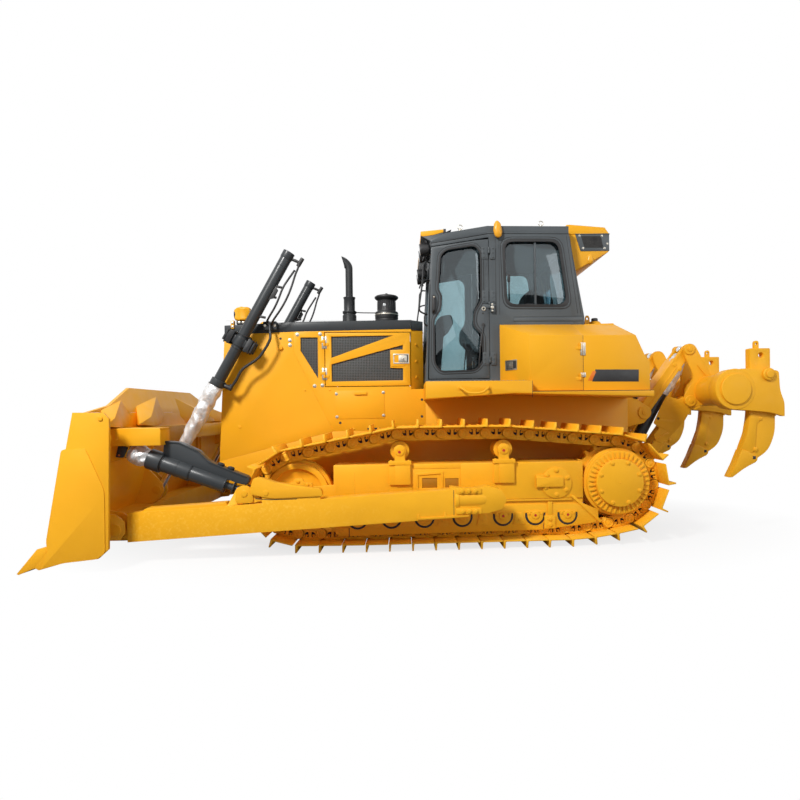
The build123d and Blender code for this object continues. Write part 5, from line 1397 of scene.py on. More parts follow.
def carrier_trim():
    """Clamp blocks, bolts and shaft caps of the carrier rollers."""
    carrier = Solid("cast")
    for x, z in CARRIERS:
        carrier.prism(((x - 100, 615), (x - 100, 806), (x + 46, 806), (x + 46, 615)), 1234, 1242)
        carrier.prism(soft_outline(((x - 110, 806), (x + 110, 806), (x + 110, 846), (x - 110, 846)), 6), 1206, 1246)
        carrier.bolts([(x + d, 1228, 846) for d in (-84, 84)], (0, 0, 1), 10)
        carrier.disc((x, z), 47, 1234, 1243, 32, 4)
        for k in range(3):
            a = radians(30 + 120 * k)
            carrier.bolt((x + 28 * cos(a), 1243, z + 28 * sin(a)), (0, 1, 0), 7, washer=False)
        carrier.use("red").disc((x + 3, z - 8), 14, 1242, 1246, 16, 0.5)
        carrier.use("cast")
    carrier.mirror().piece("carrier_trim", "root", "yellow_track", 2.0)


# ------------------------------------------------------- push arms and cylinders
ARM_Y_OUT = 1590
EYE, YOKE, LIFT_Y = (2878, 557), (2044, 2063), 725
FOOT, LUG, TILT_Y = (1799, 608), (2853, 1006), 1505
RIPPER_FOOT, RIPPER_EYE, RIPPER_Y = (-2190, 860), (-2793, 1968), 410


def on_axis(start, end, distance, out=0.0):
    """(x, z) at a distance from start towards end, and out to the axis's side that faces forward or up."""
    ahead = (Vector(end) - Vector(start)).normalized()
    side = Vector((ahead.y, -ahead.x)) if abs(ahead.y) > abs(ahead.x) else Vector((-ahead.y, ahead.x))
    if side.x + side.y < 0:
        side = -side
    return tuple(Vector(start) + ahead * distance + side * out)


def at(place, y):
    return (place[0], y, place[1])


def band(solid, start, end, y, d0, d1, radius, sides=40):
    """Collar round a cylinder between two distances along it."""
    return solid.rod(at(on_axis(start, end, d0), y), at(on_axis(start, end, d1), y), radius, sides, 3)


def push_arm_trim():
    """Ball housings, caps, clips, top plates and covers of the push arms."""
    arm = Solid("cast")
    arm.turn((-90, 1506, 505), (-1, 0, 0), ((0, 100), (8, 106), (34, 106), (42, 98), (215, 98), (270, 92), (315, 76),
                                           (348, 50), (362, 18)), 40)
    for low, high, xs in ((566, 616, (-152, -212, -272)), (382, 432, (-157, -217, -277))):
        arm.prism(soft_outline(((-330, low), (-98, low), (-98, high), (-330, high)), 14), 1530, 1600)
        arm.bolts([(x, 1600, (low + high) / 2) for x in xs], (0, 1, 0), 19)
    arm.use("yellow")
    arm.prism(((254, 340), (250, 386), (240, 388), (232, 356), (14, 364), (10, 396), (0, 400), (-12, 366), (-215, 372),
               (-215, 358), (-60, 348)), ARM_Y_OUT - 4, ARM_Y_OUT + 10)
    arm.prism(((2700, 458), (2656, 492), (1965, 530), (1946, 500)), 1450, 1576)
    arm.prism(soft_outline(((1738, 600), (1735, 680), (1707, 752), (1640, 742), (1400, 660), (1128, 640), (1106, 612),
                            (1108, 572), (1560, 560)), [30, 30, 40, 60, 120, 40, 20, 10, 60], 6),
              TILT_Y + 4, ARM_Y_OUT + 12)
    arm.disc((1603, 610), 24, ARM_Y_OUT + 10, ARM_Y_OUT + 17)
    for x, z, radius in ((FOOT[0], FOOT[1], 32), (2906, 312, 34)):
        y = TILT_Y + 65 if x < 2000 else ARM_Y_OUT - 45
        arm.disc((x, z), radius, y, y + 8)
        arm.disc((x, z), 0.45 * radius, y + 8, y + 12, 20)
    arm.prism(soft_outline(((1880, 520), (1866, 640), (1830, 676), (1770, 680), (1728, 640), (1715, 520)), 40, 6),
              TILT_Y + 64, TILT_Y + 80)
    arm.disc(FOOT, 30, TILT_Y + 80, TILT_Y + 88)
    arm.use("dark").box(-80, -75, ARM_Y_OUT, ARM_Y_OUT + 0.8, 372, 600)
    arm.prism(((1700, 556), (1560, 544), (1330, 548), (1330, 553), (1560, 550), (1700, 562)), ARM_Y_OUT, ARM_Y_OUT + 1)
    arm.mirror().piece("push_arm_trim", "push_arms", "yellow_paint", 3.0)


def lift_trim():
    """Trunnion caps, collars, ports, pipes and brackets on the lift barrels."""
    barrel = Solid("slate")
    middle = hypot(YOKE[0] - EYE[0], YOKE[1] - EYE[1])
    for d0, d1, radius in ((1212, 2774, 58), (1205, 1275, 75), (1640, 1652, 66), (middle - 52, middle + 52, 68), (1790, 1800, 64),
                           (2608, 2616, 60), (2700, 2778, 62)):
        band(barrel, EYE, YOKE, LIFT_Y, d0, d1, radius)
    barrel.use("ink")
    for side in (-1, 1):
        near, far = 78 * side, 132 * side
        corners = [on_axis(EYE, YOKE, middle + d, out) for d, out in ((-74, near), (74, near), (66, far), (-66, far))]
        barrel.prism(soft_outline(corners, 14), 662, 788)
        barrel.prism([on_axis(EYE, YOKE, middle + d, out) for d, out in ((-40, 30 * side), (40, 30 * side),
                                                                        (40, near), (-40, near))], 680, 770)
        for y in (686, 764):
            barrel.rod(at(on_axis(EYE, YOKE, middle - 60, 150 * side), y), at(on_axis(EYE, YOKE, middle + 60, 150 * side), y),
                       18, 20, 3)
        top = on_axis(EYE, YOKE, middle, far)
        ahead = Vector(on_axis(EYE, YOKE, middle, far + side)) - Vector(top)
        barrel.turn(at(top, 725), (ahead.x, 0, ahead.y), ((-2, 54), (14, 54), (24, 44), (28, 20)), 28)
        barrel.bolts([at(on_axis(EYE, YOKE, middle + d, far), y) for d in (-62, 62) for y in (672, 778)],
                     (ahead.x, 0, ahead.y), 12)
    barrel.use("black")
    barrel.prism([on_axis(EYE, YOKE, d, out) for d, out in ((2240, -54), (2400, -54), (2370, -98), (2280, -98))],
                 LIFT_Y + 28, LIFT_Y + 36)
    barrel.rod(at(on_axis(EYE, YOKE, 1243, -60), LIFT_Y), at(on_axis(EYE, YOKE, 1252, -150), LIFT_Y), 24, 20, 4)
    barrel.rod(at(on_axis(EYE, YOKE, 1226, -138), LIFT_Y), at(on_axis(EYE, YOKE, 1290, -138), LIFT_Y), 22, 20, 4)
    barrel.rod(at(on_axis(EYE, YOKE, 2725, -50), LIFT_Y), at(on_axis(EYE, YOKE, 2735, -150), LIFT_Y), 15, 20, 3)
    barrel.rod(at(on_axis(EYE, YOKE, 2690, -146), LIFT_Y), at(on_axis(EYE, YOKE, 2790, -150), LIFT_Y), 21, 20, 4)
    for d in (2045, 2280, 2400):
        barrel.rod(at(on_axis(EYE, YOKE, d, -50), LIFT_Y + 12), at(on_axis(EYE, YOKE, d + 18, -112), LIFT_Y + 12), 13, 16, 2)
    barrel.mirror().piece("lift_cylinders", "lift_barrels", "dark_paint", 2.0, replaces=("lift_barrels",))

    manifold = Solid("slate")
    manifold.prism(soft_outline(((1692, 2196), (1830, 2196), (1830, 2282), (1692, 2286)), 8), 584, 640)
    manifold.use("zinc").bolts([(x, 640, 2240) for x in (1712, 1812)], (0, 1, 0), 10)
    manifold.use("ink").rod((1775, 610, 2262), (1775, 668, 2268), 20, 16, 3)
    manifold.mirror().piece("hood_manifolds", "root", "dark_paint", 2.0)

    pipe = Solid("ink")
    pipe.tube((at((2152, 1584), 728), at((2094, 1649), 738), at((2028, 1779), 744), at((1853, 1888), 738),
               at((1767, 2025), 732), at((1734, 2097), 730), at((1752, 2247), 690), at((1775, 2268), 655)), 14, 14, 0.42)
    pipe = pipe.mirror().piece("lift_pipes", None, "dark_paint", 0)
    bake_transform(pipe)


HOSES = (("outer", ((1478, 729, 2908), (1446, 735, 2893), (1430, 740, 2866), (1440, 746, 2820), (1470, 752, 2750), (1500, 764, 2640), (1545, 770, 2520), (1612, 762, 2400),
                    (1690, 720, 2310), (1735, 672, 2262), (1742, 612, 2242))),
         ("inner", ((1477, 738, 2798), (1536, 748, 2712), (1600, 756, 2612), (1640, 758, 2500), (1690, 744, 2400),
                    (1752, 710, 2320), (1792, 668, 2262), (1794, 612, 2242))))


def smooth_path(points):
    """Points read from the smooth line that follows a hose's route, in metres."""
    curve = bpy.data.curves.new("route", "CURVE")
    curve.dimensions = "3D"
    line = curve.splines.new("NURBS")
    line.points.add(len(points) - 1)
    for point, place in zip(line.points, points):
        point.co = (*(c * MM for c in place), 1)
    line.order_u = 3
    line.use_endpoint_u = True
    line.resolution_u = 8
    thing = bpy.data.objects.new("route", curve)
    bpy.context.scene.collection.objects.link(thing)
    mesh = bpy.data.meshes.new_from_object(thing.evaluated_get(bpy.context.evaluated_depsgraph_get()))
    path = [v.co.copy() for v in mesh.vertices]
    bpy.data.objects.remove(thing)
    bpy.data.meshes.remove(mesh)
    return path


def hoses():
    """Rubber hoses that hang between the lift barrels and the hood."""
    radius = 10.5
    for side, hand in ((LEFT, "left"), (RIGHT, "right")):
        for name, route in HOSES:
            path = smooth_path([(x, side * y, z) for x, y, z in route])
            hose = Solid("rubber")
            hose.tube([p / MM for p in path], radius, 14, 0.0, 1)
            piece = hose.piece(f"lift_hose_{name}_{hand}", None, "black_plastic", 0)
            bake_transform(piece)


def tilt_trim():
    """Bands, gland, necked foot and sheet-metal hose guard of the tilt cylinders."""
    barrel = Solid("slate")
    for d0, d1, radius in ((110, 122, 62), (190, 205, 71), (200, 512, 69), (520, 790, 76), (636, 641, 78),
                           (786, 908, 93)):
        band(barrel, FOOT, LUG, TILT_Y, d0, d1, radius)
    barrel.use("ink")
    band(barrel, FOOT, LUG, TILT_Y, 772, 788, 80)
    band(barrel, FOOT, LUG, TILT_Y, 511, 521, 71)
    barrel.use("slate")
    barrel.prism(soft_outline(((2508, 1084), (2374, 1072), (2206, 988), (2116, 892), (1780, 752), (1762, 722),
                               (1790, 676), (1858, 690), (2520, 948)), [20, 60, 60, 60, 20, 14, 14, 30, 14]), 1444, 1530)
    barrel.prism(((2496, 1084), (2376, 1072), (2210, 990), (2118, 894), (1786, 754), (1790, 744), (2120, 882),
                  (2214, 978), (2380, 1060), (2500, 1072)), 1436, 1538)
    barrel.use("ink")
    for x, z in ((2024, 862), (1936, 826)):
        barrel.turn((x, 1490, z - 8), (-0.35, 0, 0.94), ((0, 30), (16, 30), (22, 24), (26, 8)), 24)
    barrel.mirror().piece("tilt_barrel_trim", "tilt_barrels", "dark_paint", 2.5)

    head = Solid("ink")
    corners = [on_axis(FOOT, LUG, d, out) for d, out in ((1072, -56), (1150, -60), (1168, -40), (1168, 52), (1150, 64),
                                                          (1072, 52))]
    head.prism(soft_outline(corners, 10), TILT_Y - 38, TILT_Y + 38)
    head.use("zinc").disc(LUG, 15, TILT_Y + 40, TILT_Y + 46, 24)
    head.mirror().piece("tilt_rod_heads", "tilt_rods", "rod_chrome", 3.0)


def crumpled(name, body, start, end, y, rods, hand):
    """Foil wrapped round a rod: a thin open sleeve with creases and folds."""
    side = LEFT if hand == "left" else RIGHT
    foot, ahead = Vector(at(start, y)), Vector(at(end, y)) - Vector(at(start, y))
    ahead.normalize()
    right = Vector((0, 1, 0))
    other = ahead.cross(right)
    sleeve = Solid("foil")
    steps, sides = 72, 44
    first, last = rods[0][0], rods[-1][0]
    rings = []
    for i in range(steps + 1):
        d = first + (last - first) * i / steps
        radius = next(r0 + (r1 - r0) * (d - d0) / (d1 - d0) for (d0, r0), (d1, r1) in zip(rods, rods[1:]) if d <= d1)
        ring = []
        for k in range(sides):
            a = 2 * pi * k / sides
            out = right * cos(a) + other * sin(a)
            place = foot + ahead * d + out * radius
            spiral = a + d / 190
            fold = 1.1 * noise.noise(Vector((1.7 * cos(spiral), 1.7 * sin(spiral), d / 95))) + \
                0.45 * abs(noise.noise(Vector((4 * cos(spiral), 4 * sin(spiral), d / 34 + 7)))) + \
                0.25 * noise.noise(Vector((9 * cos(a), 9 * sin(a), d / 13)))
            twist = noise.noise(place / 90)
            ring.append(place + out * (0.2 * radius * fold) + ahead * 9 * twist)
        rings.append(ring)
    sleeve.rings(rings, cap=False)
    if side == RIGHT:
        sleeve.flip()
    piece = sleeve.piece(f"{name}_{hand}", body, "rod_chrome", 0, angle=80)
    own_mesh(piece)
    return piece


def wraps():
    """Silver wraps on all six rods."""
    rows = (("lift_rod_wrap", "lift_rods", EYE, YOKE, LIFT_Y, ((470, 46), (560, 56), (800, 72), (1202, 80)),
             ("lift_rod_slide", 60, 0.215)),
            ("tilt_rod_wrap", "tilt_rods", LUG, FOOT, TILT_Y, ((44, 66), (90, 88), (150, 84), (214, 70)),
             ("tilt_rod_slide", 28, 0.62)),
            ("ripper_rod_wrap", "ripper_rods", RIPPER_EYE, RIPPER_FOOT, RIPPER_Y, ((66, 60), (160, 86), (380, 96), (554, 74)),
             ("ripper_rod_slide", 40, 0.18)))
    for name, body, start, end, y, rods, squashed in rows:
        for hand in ("left", "right"):
            crumpled(name, body, start, end, y, rods, hand)


# ---------------------------------------------------------------------- blade
BLADE_Y = 1862
GUARD_REAR, GUARD_BASE_Z, GUARD_TOP_Z, GUARD_LEAN = 3026, 1346, 1592, 85
BRACES = (((3110, 179, 1545), (3068, 806, 1427), (2885, 1150, 1230), (2885, 880, 1300), (2885, 800, 1206),
           (3040, 132, 1317), (3070, 806, 1206), (3050, 132, 1240)),
          ((3088, 1061, 1483), (3052, 1540, 1379), (2885, 1800, 1230), (2885, 1630, 1297), (2885, 1506, 1206),
           (3040, 941, 1317), (3060, 1540, 1206), (3050, 941, 1240)))


def spill_plate():
    """Leaning plate on top of the blade with its folded braces behind."""
    plate = Solid("yellow")
    profile = ((-1822, 1346), (-1390, 1409), (-850, 1592), (850, 1592), (1390, 1409), (1822, 1346))
    rings = []
    for thick in (0, 32):
        rings.append([(GUARD_REAR + thick + GUARD_LEAN * (z - GUARD_BASE_Z) / (GUARD_TOP_Z - GUARD_BASE_Z), y, z)
                      for y, z in profile])
    plate.rings(rings)
    for side in (LEFT, RIGHT):
        for brace in BRACES:
            made = plate.verts([(x, side * y, z) for x, y, z in brace])
            bmesh.ops.convex_hull(plate.bm, input=made)
    plate.piece("spill_plate", "blade", "yellow_paint", 3.0, replaces=("spill_guard",))


def blade_trim():
    """Reinforcing plates, end bits, edge bolts, pins and lips of the blade."""
    blade = Solid("yellow")
    blade.prism(soft_outline(((3212, 1033), (3018, 1048), (2900, 770), (2868, 690), (2868, 170), (2935, 122),
                              (3200, 97), (3385, 50), (3330, 200), (3342, 277)),
                             [20, 24, 30, 60, 30, 30, 20, 10, 10, 30]), BLADE_Y - 1, BLADE_Y + 9)
    blade.disc((2894, 1295), 20, BLADE_Y, BLADE_Y + 10)
    blade.prism(((3330, 235), (3420, 215), (3585, 14), (3568, 6), (3440, 60), (3330, 200)), BLADE_Y - 32, BLADE_Y - 1)
    blade.disc((2873, 1116), 17, 1640, 1647)
    blade.use("ink").prism(soft_outline(((2899, 951), (2874, 1060), (2800, 1034), (2838, 945)), 8), TILT_Y + 60, 1600)
    blade.use("copper").disc((2868, 968), 9, 1600, 1603, 20, 0.6)
    blade.use("yellow")
    blade.box(2498, 2508, TILT_Y - 70, 1638, 1052, 1188)
    for y in (LIFT_Y + 62, LIFT_Y - 70):
        blade.disc(EYE, 40, y, y + 8)
    blade.use("cast")
    for y in (ARM_Y_OUT, 1420 - 12):
        blade.disc((2916, 310), 52, y - 4, y + 10)
    blade.use("steel")
    blade.bolts([(3395 + 88 * t, y, 205 - 116 * t) for y in range(120, 1380, 180) for t in (0.25, 0.7)],
                (0.8, 0, 0.6), 17, washer=False)
    blade.mirror().piece("blade_trim", "blade", "yellow_paint", 2.5)


# --------------------------------------------------------------------- ripper
RIP_PINS = {"a": (-2284, 705), "b": (-2277, 1276), "c": (-2793, 1968), "d": (-2800, 1397), "e": (-2190, 860)}
CHEEK_FACE = 565
SHANK_YS = (1000, 0, -1000)


def pin_cap(solid, centre, radius, y):
    solid.disc(centre, radius, y - 2, y + 14, 40, 4)
    solid.disc(centre, 0.42 * radius, y + 14, y + 22, 28, 2)
    return solid.disc(centre, 0.14 * radius, y + 22, y + 24, 16, 0.6)


def ripper_trim():
    """Pin caps, link plates, stops, end caps, holder caps and shank details of the ripper."""
    mount = Solid("cast")
    for pin in "ab":
        pin_cap(mount, RIP_PINS[pin], 74, CHEEK_FACE)
    mount.mirror().piece("ripper_mount_caps", "root", "yellow_paint", 2.0)

    upper = Solid("cast")
    foot, head = RIP_PINS["b"], RIP_PINS["c"]
    upper.prism([on_axis(foot, head, d, out) for d, out in ((90, 52), (90, 66), (700, 66), (700, 52))], 292, 528)
    upper.prism([on_axis(foot, head, d, out) for d, out in ((100, -20), (100, -8), (640, -8), (640, -20))], 522, 530)
    for d, out in ((640, 20), (640, -56)):
        upper.prism(soft_outline([on_axis(foot, head, d + a, out + b) for a, b in ((-22, -20), (22, -20), (22, 20),
                                                                                  (-22, 20))], 6), 520, 530)
    upper.mirror().piece("ripper_upper_plates", "ripper_upper", "yellow_paint", 3.0)

    lower = Solid("cast")
    plate = soft_outline(((-2545, 1455), (-2691, 1417), (-2742, 1450), (-2840, 1425), (-2850, 1350), (-2748, 1175),
                          (-2608, 1029), (-2481, 927), (-2411, 959), (-2398, 1035), (-2468, 1099), (-2392, 1156),
                          (-2462, 1303)), 18)
    lower.prism(plate, 523, 528.5, holes=[circle((-2449, 1206), 17, 20)])
    # painted shade: a dark disc behind the plate's hole
    lower.use("dark").prism(circle((-2449, 1206), 18, 20), 522, 523.5)
    lower.use("cast").prism(((-2560, 1056), (-2572, 1040), (-2420, 958), (-2410, 975)), 528, 534)
    lower.mirror().piece("ripper_lower_plates", "ripper_lower", "yellow_paint", 1.5)

    beam = Solid("cast")
    for pin in "cd":
        pin_cap(beam, RIP_PINS[pin], 62, CHEEK_FACE)
        for y in (290, 505):
            beam.disc(RIP_PINS[pin], 40, y, y + 60)
    for y0, y1 in ((255, 290), (530, 566)):
        beam.prism(soft_outline(((-2740, 2030), (-2850, 2030), (-3060, 1640), (-3010, 1360), (-2830, 1330),
                                 (-2740, 1360), (-2740, 1470), (-2860, 1640), (-2730, 1920)),
                                [70, 50, 60, 30, 70, 50, 60, 120, 60]), y0, y1)
    for x0, z0, x1, z1 in ((-2880, 1790, -2960, 1690), (-2830, 1310, -2900, 1340)):
        beam.prism(((x0, z0), (x0 - 16, z0 - 12), (x1 - 16, z1 - 12), (x1, z1)), CHEEK_FACE - 2, CHEEK_FACE + 12)
    beam.turn((-3010, 0, 1505), (0, 1, 0), ((0, 165), (905, 165), (915, 178), (940, 200), (950, 206), (1096, 210),
                                           (1104, 205)), 64)
    beam.disc((-3010, 1505), 158, 1100, 1124, 64, 5)
    for y in (900, 1040, 40):
        beam.prism(HOLDER, y, y + 60)
    beam.disc((-3358, 1654), 64, 1096, 1128, 40, 8)
    beam.disc((-3358, 1654), 40, 1126, 1142, 32, 6)
    beam.disc((-3358, 1654), 60, 98, 130, 32, 6)
    beam.box(-3190, -3130, 955, 1045, 1300, 1680)
    beam.mirror()
    beam.box(-3190, -3130, -45, 45, 1300, 1680)
    beam.piece("ripper_beam_body", "ripper_beam", "yellow_paint", 4.0, 3, replaces=("ripper_beam",))


HOLDER = soft_outline(((-3150, 1716), (-3300, 1712), (-3470, 1690), (-3482, 1480), (-3527, 1370), (-3527, 1219),
                       (-3400, 1262), (-3221, 1282), (-3100, 1290), (-3010, 1300), (-2870, 1440), (-2880, 1600),
                       (-3010, 1712)), [60, 60, 30, 60, 40, 16, 80, 60, 60, 90, 90, 90, 90])
SHANK = soft_outline(((-3200, 1927), (-3416, 1927), (-3416, 1700), (-3404, 1290), (-3462, 1285), (-3459, 1046),
                      (-3383, 870), (-3259, 788), (-3253, 753), (-3099, 679), (-2989, 600), (-2958, 600),
                      (-3027, 733), (-3102, 886), (-3165, 1050), (-3192, 1285), (-3200, 1500)),
                     [14, 14, 20, 8, 8, 90, 90, 12, 8, 12, 10, 6, 60, 90, 120, 60, 20], 5)
SHIN = soft_outline(((-3196, 1262), (-3300, 1222), (-3292, 1180), (-3262, 1150), (-3240, 880), (-3205, 850),
                     (-3150, 868), (-3095, 884), (-3160, 1050), (-3188, 1200)), 14)
POINT = soft_outline(((-3094, 884), (-3150, 872), (-3200, 846), (-3262, 800), (-3256, 768), (-3100, 680),
                      (-2992, 602), (-2962, 602), (-3030, 733)), 10)
EYE_PLATE = soft_outline(((-3262, 1915), (-3312, 1915), (-3312, 1990), (-3300, 2008), (-3274, 2008),
                          (-3262, 1990)), 12)


def shanks():
    """Curved shanks with shin plates, wedge-shaped points, their pins and the lifting eyes."""
    for hand, y in zip(("left", "middle", "right"), SHANK_YS):
        shank = Solid("cast")
        shank.prism(SHANK, y - 40, y + 40, holes=[circle((-3319, 1856), 29, 28)])
        shank.prism(EYE_PLATE, y - 16, y + 16, holes=[circle((-3287, 1975), 13, 20)])
        for out in (1, -1):
            face = y + 40 * out
            shank.prism(SHIN, face, face + 8 * out)
            shank.prism(POINT, face - 4 * out, face + 16 * out)
            shank.bolts([(-3300, face, 1200), (-3244, face + 8 * out, 884)], (0, out, 0), 17)
            # painted shade: a dark square for the recess of the point's pin
            shank.use("dark").prism([(-3226 + a, 800 + b) for a, b in ((-16, -16), (16, -16), (16, 16), (-16, 16))],
                                    face + 16 * out, face + 17 * out)
            shank.use("cast")
        shank.piece(f"shank_{hand}", "ripper_beam", "yellow_paint", 3.0, replaces=(f"ripper_shank_{hand}",))


drive_trim()
track_frame_trim()
roller_guards()
carrier_trim()
push_arm_trim()
lift_trim()
hoses()
tilt_trim()
wraps()
spill_plate()
blade_trim()
ripper_trim()
shanks()


# ------------------------------------------------------------ inside the cab
def cushion(name, centre, half, crown, channels, axis, lean=0.0):
    """Crowned closed pad whose sides pull in, with sewn channels across it."""
    pad = Solid("cloth")
    rows, sides = 26, 40
    turned = Matrix.Rotation(lean, 3, "Y")
    rings = []
    for i in range(rows + 1):
        s = -1 + 2 * i / rows
        ring = []
        for k in range(sides):
            a = 2 * pi * k / sides
            u = abs(cos(a)) ** 0.45 * (1 if cos(a) > 0 else -1)
            w = abs(sin(a)) ** 0.45 * (1 if sin(a) > 0 else -1)
            full = (1 - abs(s) ** 5) ** 0.35 if abs(s) < 1 else 0.02
            swell = 1 + crown * (1 - u * u) * (1 - s * s)
            seam = 1 - 0.16 * sum(max(0, 1 - abs(s - c) / 0.07) ** 2 for c in channels) if w > 0 else 1
            ring.append(turned @ Vector((half[0] * s, half[1] * u * (0.94 + 0.06 * full), half[2] * w * full * swell * seam))
                        if axis == "x" else
                        turned @ Vector((half[0] * w * full * swell * seam, half[1] * u * (0.94 + 0.06 * full), half[2] * s)))
        rings.append([p + Vector(centre) for p in ring])
    pad.rings(rings)
    piece = pad.piece(name, "root", "seat_cover", 0, angle=70)
    made = piece.modifiers.new("soft", "SUBSURF")
    made.levels = made.render_levels = 1
    apply_modifiers(piece)
    mark_edges(piece.data, 60)
    return piece


def operator_seat():
    """Padded seat on its suspension box."""
    bottom = cushion("seat_cushion", (-700, 0, 2012), (265, 250, 62), 0.22, (-0.45, 0.1, 0.55), "x")
    cushion("seat_back", (-1052, 0, 2395), (62, 235, 315), 0.22, (-0.5, 0.0, 0.45), "z", radians(-12))
    base = Solid("plastic")
    for k in range(7):
        grow_by = 12 * (k % 2)
        base.box(-900 - grow_by, -500 + grow_by, -170 - grow_by, 170 + grow_by, 1640 + 40 * k, 1676 + 40 * k)
    base.box(-930, -470, -210, 210, 1920, 1956)
    base.box(-880, -520, -190, 190, 1608, 1642)
    base.prism(((-1000, 1960), (-1125, 2640), (-1090, 2650), (-960, 1960)), -190, 190)
    base.piece("seat_base", "root", "seat_cover", 6.0, 3)
    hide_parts("seat")


def controls():
    """Console, arm pods, joysticks, pedals and the dark linings behind the windows."""
    console = Solid("plastic")
    console.prism(soft_outline(((-40, 1606), (20, 1606), (0, 2320), (-60, 2385), (-180, 2400), (-200, 2290),
                                (-90, 2200)), [4, 4, 30, 40, 30, 30, 60]), -330, 330)
    for side in (LEFT, RIGHT):
        console.prism(soft_outline(((-900, 1700), (-900, 2150), (-840, 2205), (-470, 2232), (-404, 2190), (-400, 2120),
                                    (-520, 2060), (-560, 1700)), [20, 60, 60, 60, 40, 40, 60, 20]),
                      340 * side, 458 * side)
        console.use("rubber").turn((-470, 400 * side, 2226), (0.25, 0, 1), ((0, 48), (14, 40), (30, 30), (40, 15),
                                                                          (110, 13), (118, 20), (190, 26), (214, 22),
                                                                          (222, 10)), 24)
        console.use("plastic")
    console.use("lamp").prism(((-92, 2380), (-172, 2393), (-174, 2397), (-90, 2386)), -180, 180)
    console.use("rubber")
    for y in (-210, 0, 210):
        console.prism(((-120, 1612), (-250, 1625), (-252, 1632), (-118, 1640)), y - 50, y + 50)
        console.rod((-130, y, 1620), (-70, y, 1690), 9)
    console.piece("operator_controls", "root", "console_plastic", 4.0, replaces=("control_console",))

    lining = Solid("plastic")
    lining.prism(((-530, 3100), (-1330, 3100), (-1330, 3116), (-530, 3116)), -740, 740)
    lining.prism(((-20, 3000), (-530, 3098), (-530, 3114), (-20, 3016)), -740, 740)
    lining.box(-1480, -1466, -740, 740, 1606, 2385)
    lining.box(-1460, 60, -760, 760, 1606, 1614)
    for side in (LEFT, RIGHT):
        lining.prism(((-570, 1614), (-1470, 1614), (-1470, 2395), (-570, 2395)), 757 * side, 745 * side)
        lining.prism(((-570, 2395), (-690, 2395), (-690, 3095), (-570, 3095)), 757 * side, 745 * side)
    lining.piece("cab_linings", "root", "console_plastic", 3.0)


operator_seat()
controls()


# ------------------------------------------------------- floor, light, camera
def build_floor():
    """Pale floor that fades to the white backdrop away from the machine."""
    mesh = bpy.data.meshes.new("floor")
    reach = 60.0
    mesh.from_pydata([(-reach, -reach, 0), (reach, -reach, 0), (reach, reach, 0), (-reach, reach, 0)], [],
                     [(0, 1, 2, 3)])
    floor = bpy.data.objects.new("floor", mesh)
    bpy.context.scene.collection.objects.link(floor)
    floor.location.z = -0.001
    s = Shader("studio_floor")
    s.nodes.remove(s.surface)
    matte = s.node("ShaderNodeBsdfDiffuse")
    path = s.node("ShaderNodeLightPath")
    seen = s.node("ShaderNodeMath", operation="MAXIMUM")
    s.links.new(path.outputs["Is Camera Ray"], seen.inputs[0])
    s.links.new(path.outputs["Is Transmission Ray"], seen.inputs[1])
    tone = s.mix(s.remap(s.noise(0.8, 3), 0.3, 0.7, 0, 1), (0.80, 0.80, 0.80), (0.78, 0.78, 0.785))
    s.links.new(s.mix(seen.outputs[0], (0.30, 0.30, 0.30), tone), matte.inputs["Color"])
    glow = s.node("ShaderNodeEmission")
    glow.inputs["Color"].default_value = (1, 1, 1, 1)
    flat = s.node("ShaderNodeVectorMath", operation="MULTIPLY")
    flat.inputs[1].default_value = (0.62, 1.0, 0)
    s.links.new(s.place, flat.inputs[0])
    far = s.node("ShaderNodeVectorMath", operation="LENGTH")
    s.links.new(flat.outputs["Vector"], far.inputs[0])
    fade = s.remap(far.outputs["Value"], 1.2, 2.7, 0.72, 1)
    both = s.node("ShaderNodeMixShader")
    s.links.new(s.times(fade, seen.outputs[0]), both.inputs[0])
    s.links.new(matte.outputs[0], both.inputs[1])
    s.links.new(glow.outputs[0], both.inputs[2])
    s.links.new(both.outputs[0], s.nodes["Material Output"].inputs["Surface"])
    mesh.materials.append(s.material)


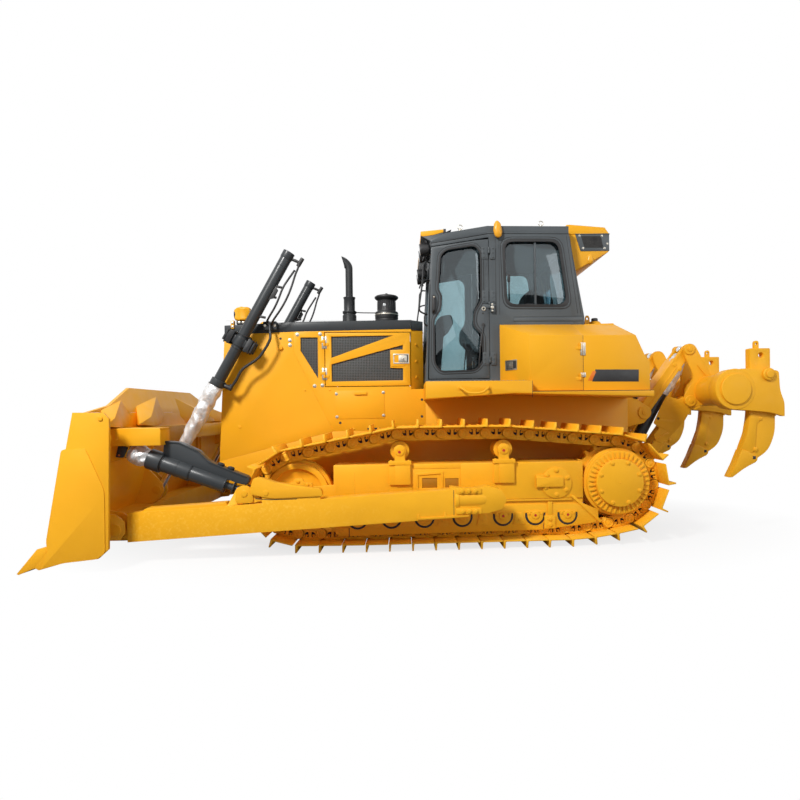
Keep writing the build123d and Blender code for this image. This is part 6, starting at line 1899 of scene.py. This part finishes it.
def build_world():
    """White to the eye and in reflections, soft pale light on everything else."""
    world = bpy.data.worlds.new("studio")
    world.use_nodes = True
    bpy.context.scene.world = world
    nodes, links = world.node_tree.nodes, world.node_tree.links
    path = nodes.new("ShaderNodeLightPath")
    seen = nodes.new("ShaderNodeMath")
    seen.operation = "MAXIMUM"
    either = nodes.new("ShaderNodeMath")
    either.operation = "MAXIMUM"
    links.new(path.outputs["Is Camera Ray"], seen.inputs[0])
    links.new(path.outputs["Is Glossy Ray"], seen.inputs[1])
    links.new(seen.outputs[0], either.inputs[0])
    links.new(path.outputs["Is Transmission Ray"], either.inputs[1])
    shown, soft, both = (nodes.new("ShaderNodeBackground"), nodes["Background"], nodes.new("ShaderNodeMixShader"))
    shown.inputs["Color"].default_value = (1, 1, 1, 1)
    shown.inputs["Strength"].default_value = 1.0
    soft.inputs["Color"].default_value = (0.94, 0.97, 1.0, 1)
    soft.inputs["Strength"].default_value = WORLD_LIGHT
    links.new(either.outputs[0], both.inputs[0])
    links.new(soft.outputs[0], both.inputs[1])
    links.new(shown.outputs[0], both.inputs[2])
    links.new(both.outputs[0], nodes["World Output"].inputs["Surface"])


WORLD_LIGHT = 0.24
# name, place, aim, size, watts, colour
LAMPS = (
    ("key", (4.8, 7.6, 7.8), (0.0, 0.0, 1.2), 1.6, 1120, (1.0, 0.985, 0.96)),
    ("fill", (-7.0, 6.0, 4.0), (0.0, 0.0, 1.2), 6.0, 190, (0.98, 0.99, 1.0)),
    ("rim", (-2.0, -8.0, 7.0), (0.0, 0.0, 1.5), 6.0, 270, (1.0, 1.0, 1.0)),
)


def build_lamps():
    for name, place, aim, size, watts, colour in LAMPS:
        data = bpy.data.lights.new(name, "AREA")
        data.energy, data.size, data.color = watts, size, colour
        lamp = bpy.data.objects.new(name, data)
        lamp.visible_glossy = name != "rim"
        lamp.location = place
        lamp.rotation_euler = (Vector(aim) - Vector(place)).to_track_quat("-Z", "Y").to_euler()
        bpy.context.scene.collection.objects.link(lamp)


CAMERA_PLACE = (0.3552, 7.0, 1.3253)
CAMERA_DOWN = radians(3.3)
CAMERA_TURN = radians(0.73)
CAMERA_LENS = 26.865
CAMERA_SHIFT = (-0.04925, 0.01375)


def build_camera():
    """Side view from the left at the photographed angle."""
    s, c = sin(CAMERA_DOWN), cos(CAMERA_DOWN)
    lean = Vector((cos(CAMERA_TURN), 0, sin(CAMERA_TURN)))
    ahead = Vector((0, -c, 0)) - s * lean
    right = Vector((0, s, 0)) - c * lean
    up = right.cross(ahead)
    data = bpy.data.cameras.new("view")
    data.sensor_width, data.lens = 36.0, CAMERA_LENS
    data.shift_x, data.shift_y = CAMERA_SHIFT
    camera = bpy.data.objects.new("view", data)
    camera.matrix_world = Matrix.Translation(CAMERA_PLACE) @ Matrix((right, up, -ahead)).transposed().to_4x4()
    bpy.context.scene.collection.objects.link(camera)
    bpy.context.scene.camera = camera


build_floor()
build_world()
build_lamps()
build_camera()
bpy.context.scene.view_settings.view_transform = "Standard"
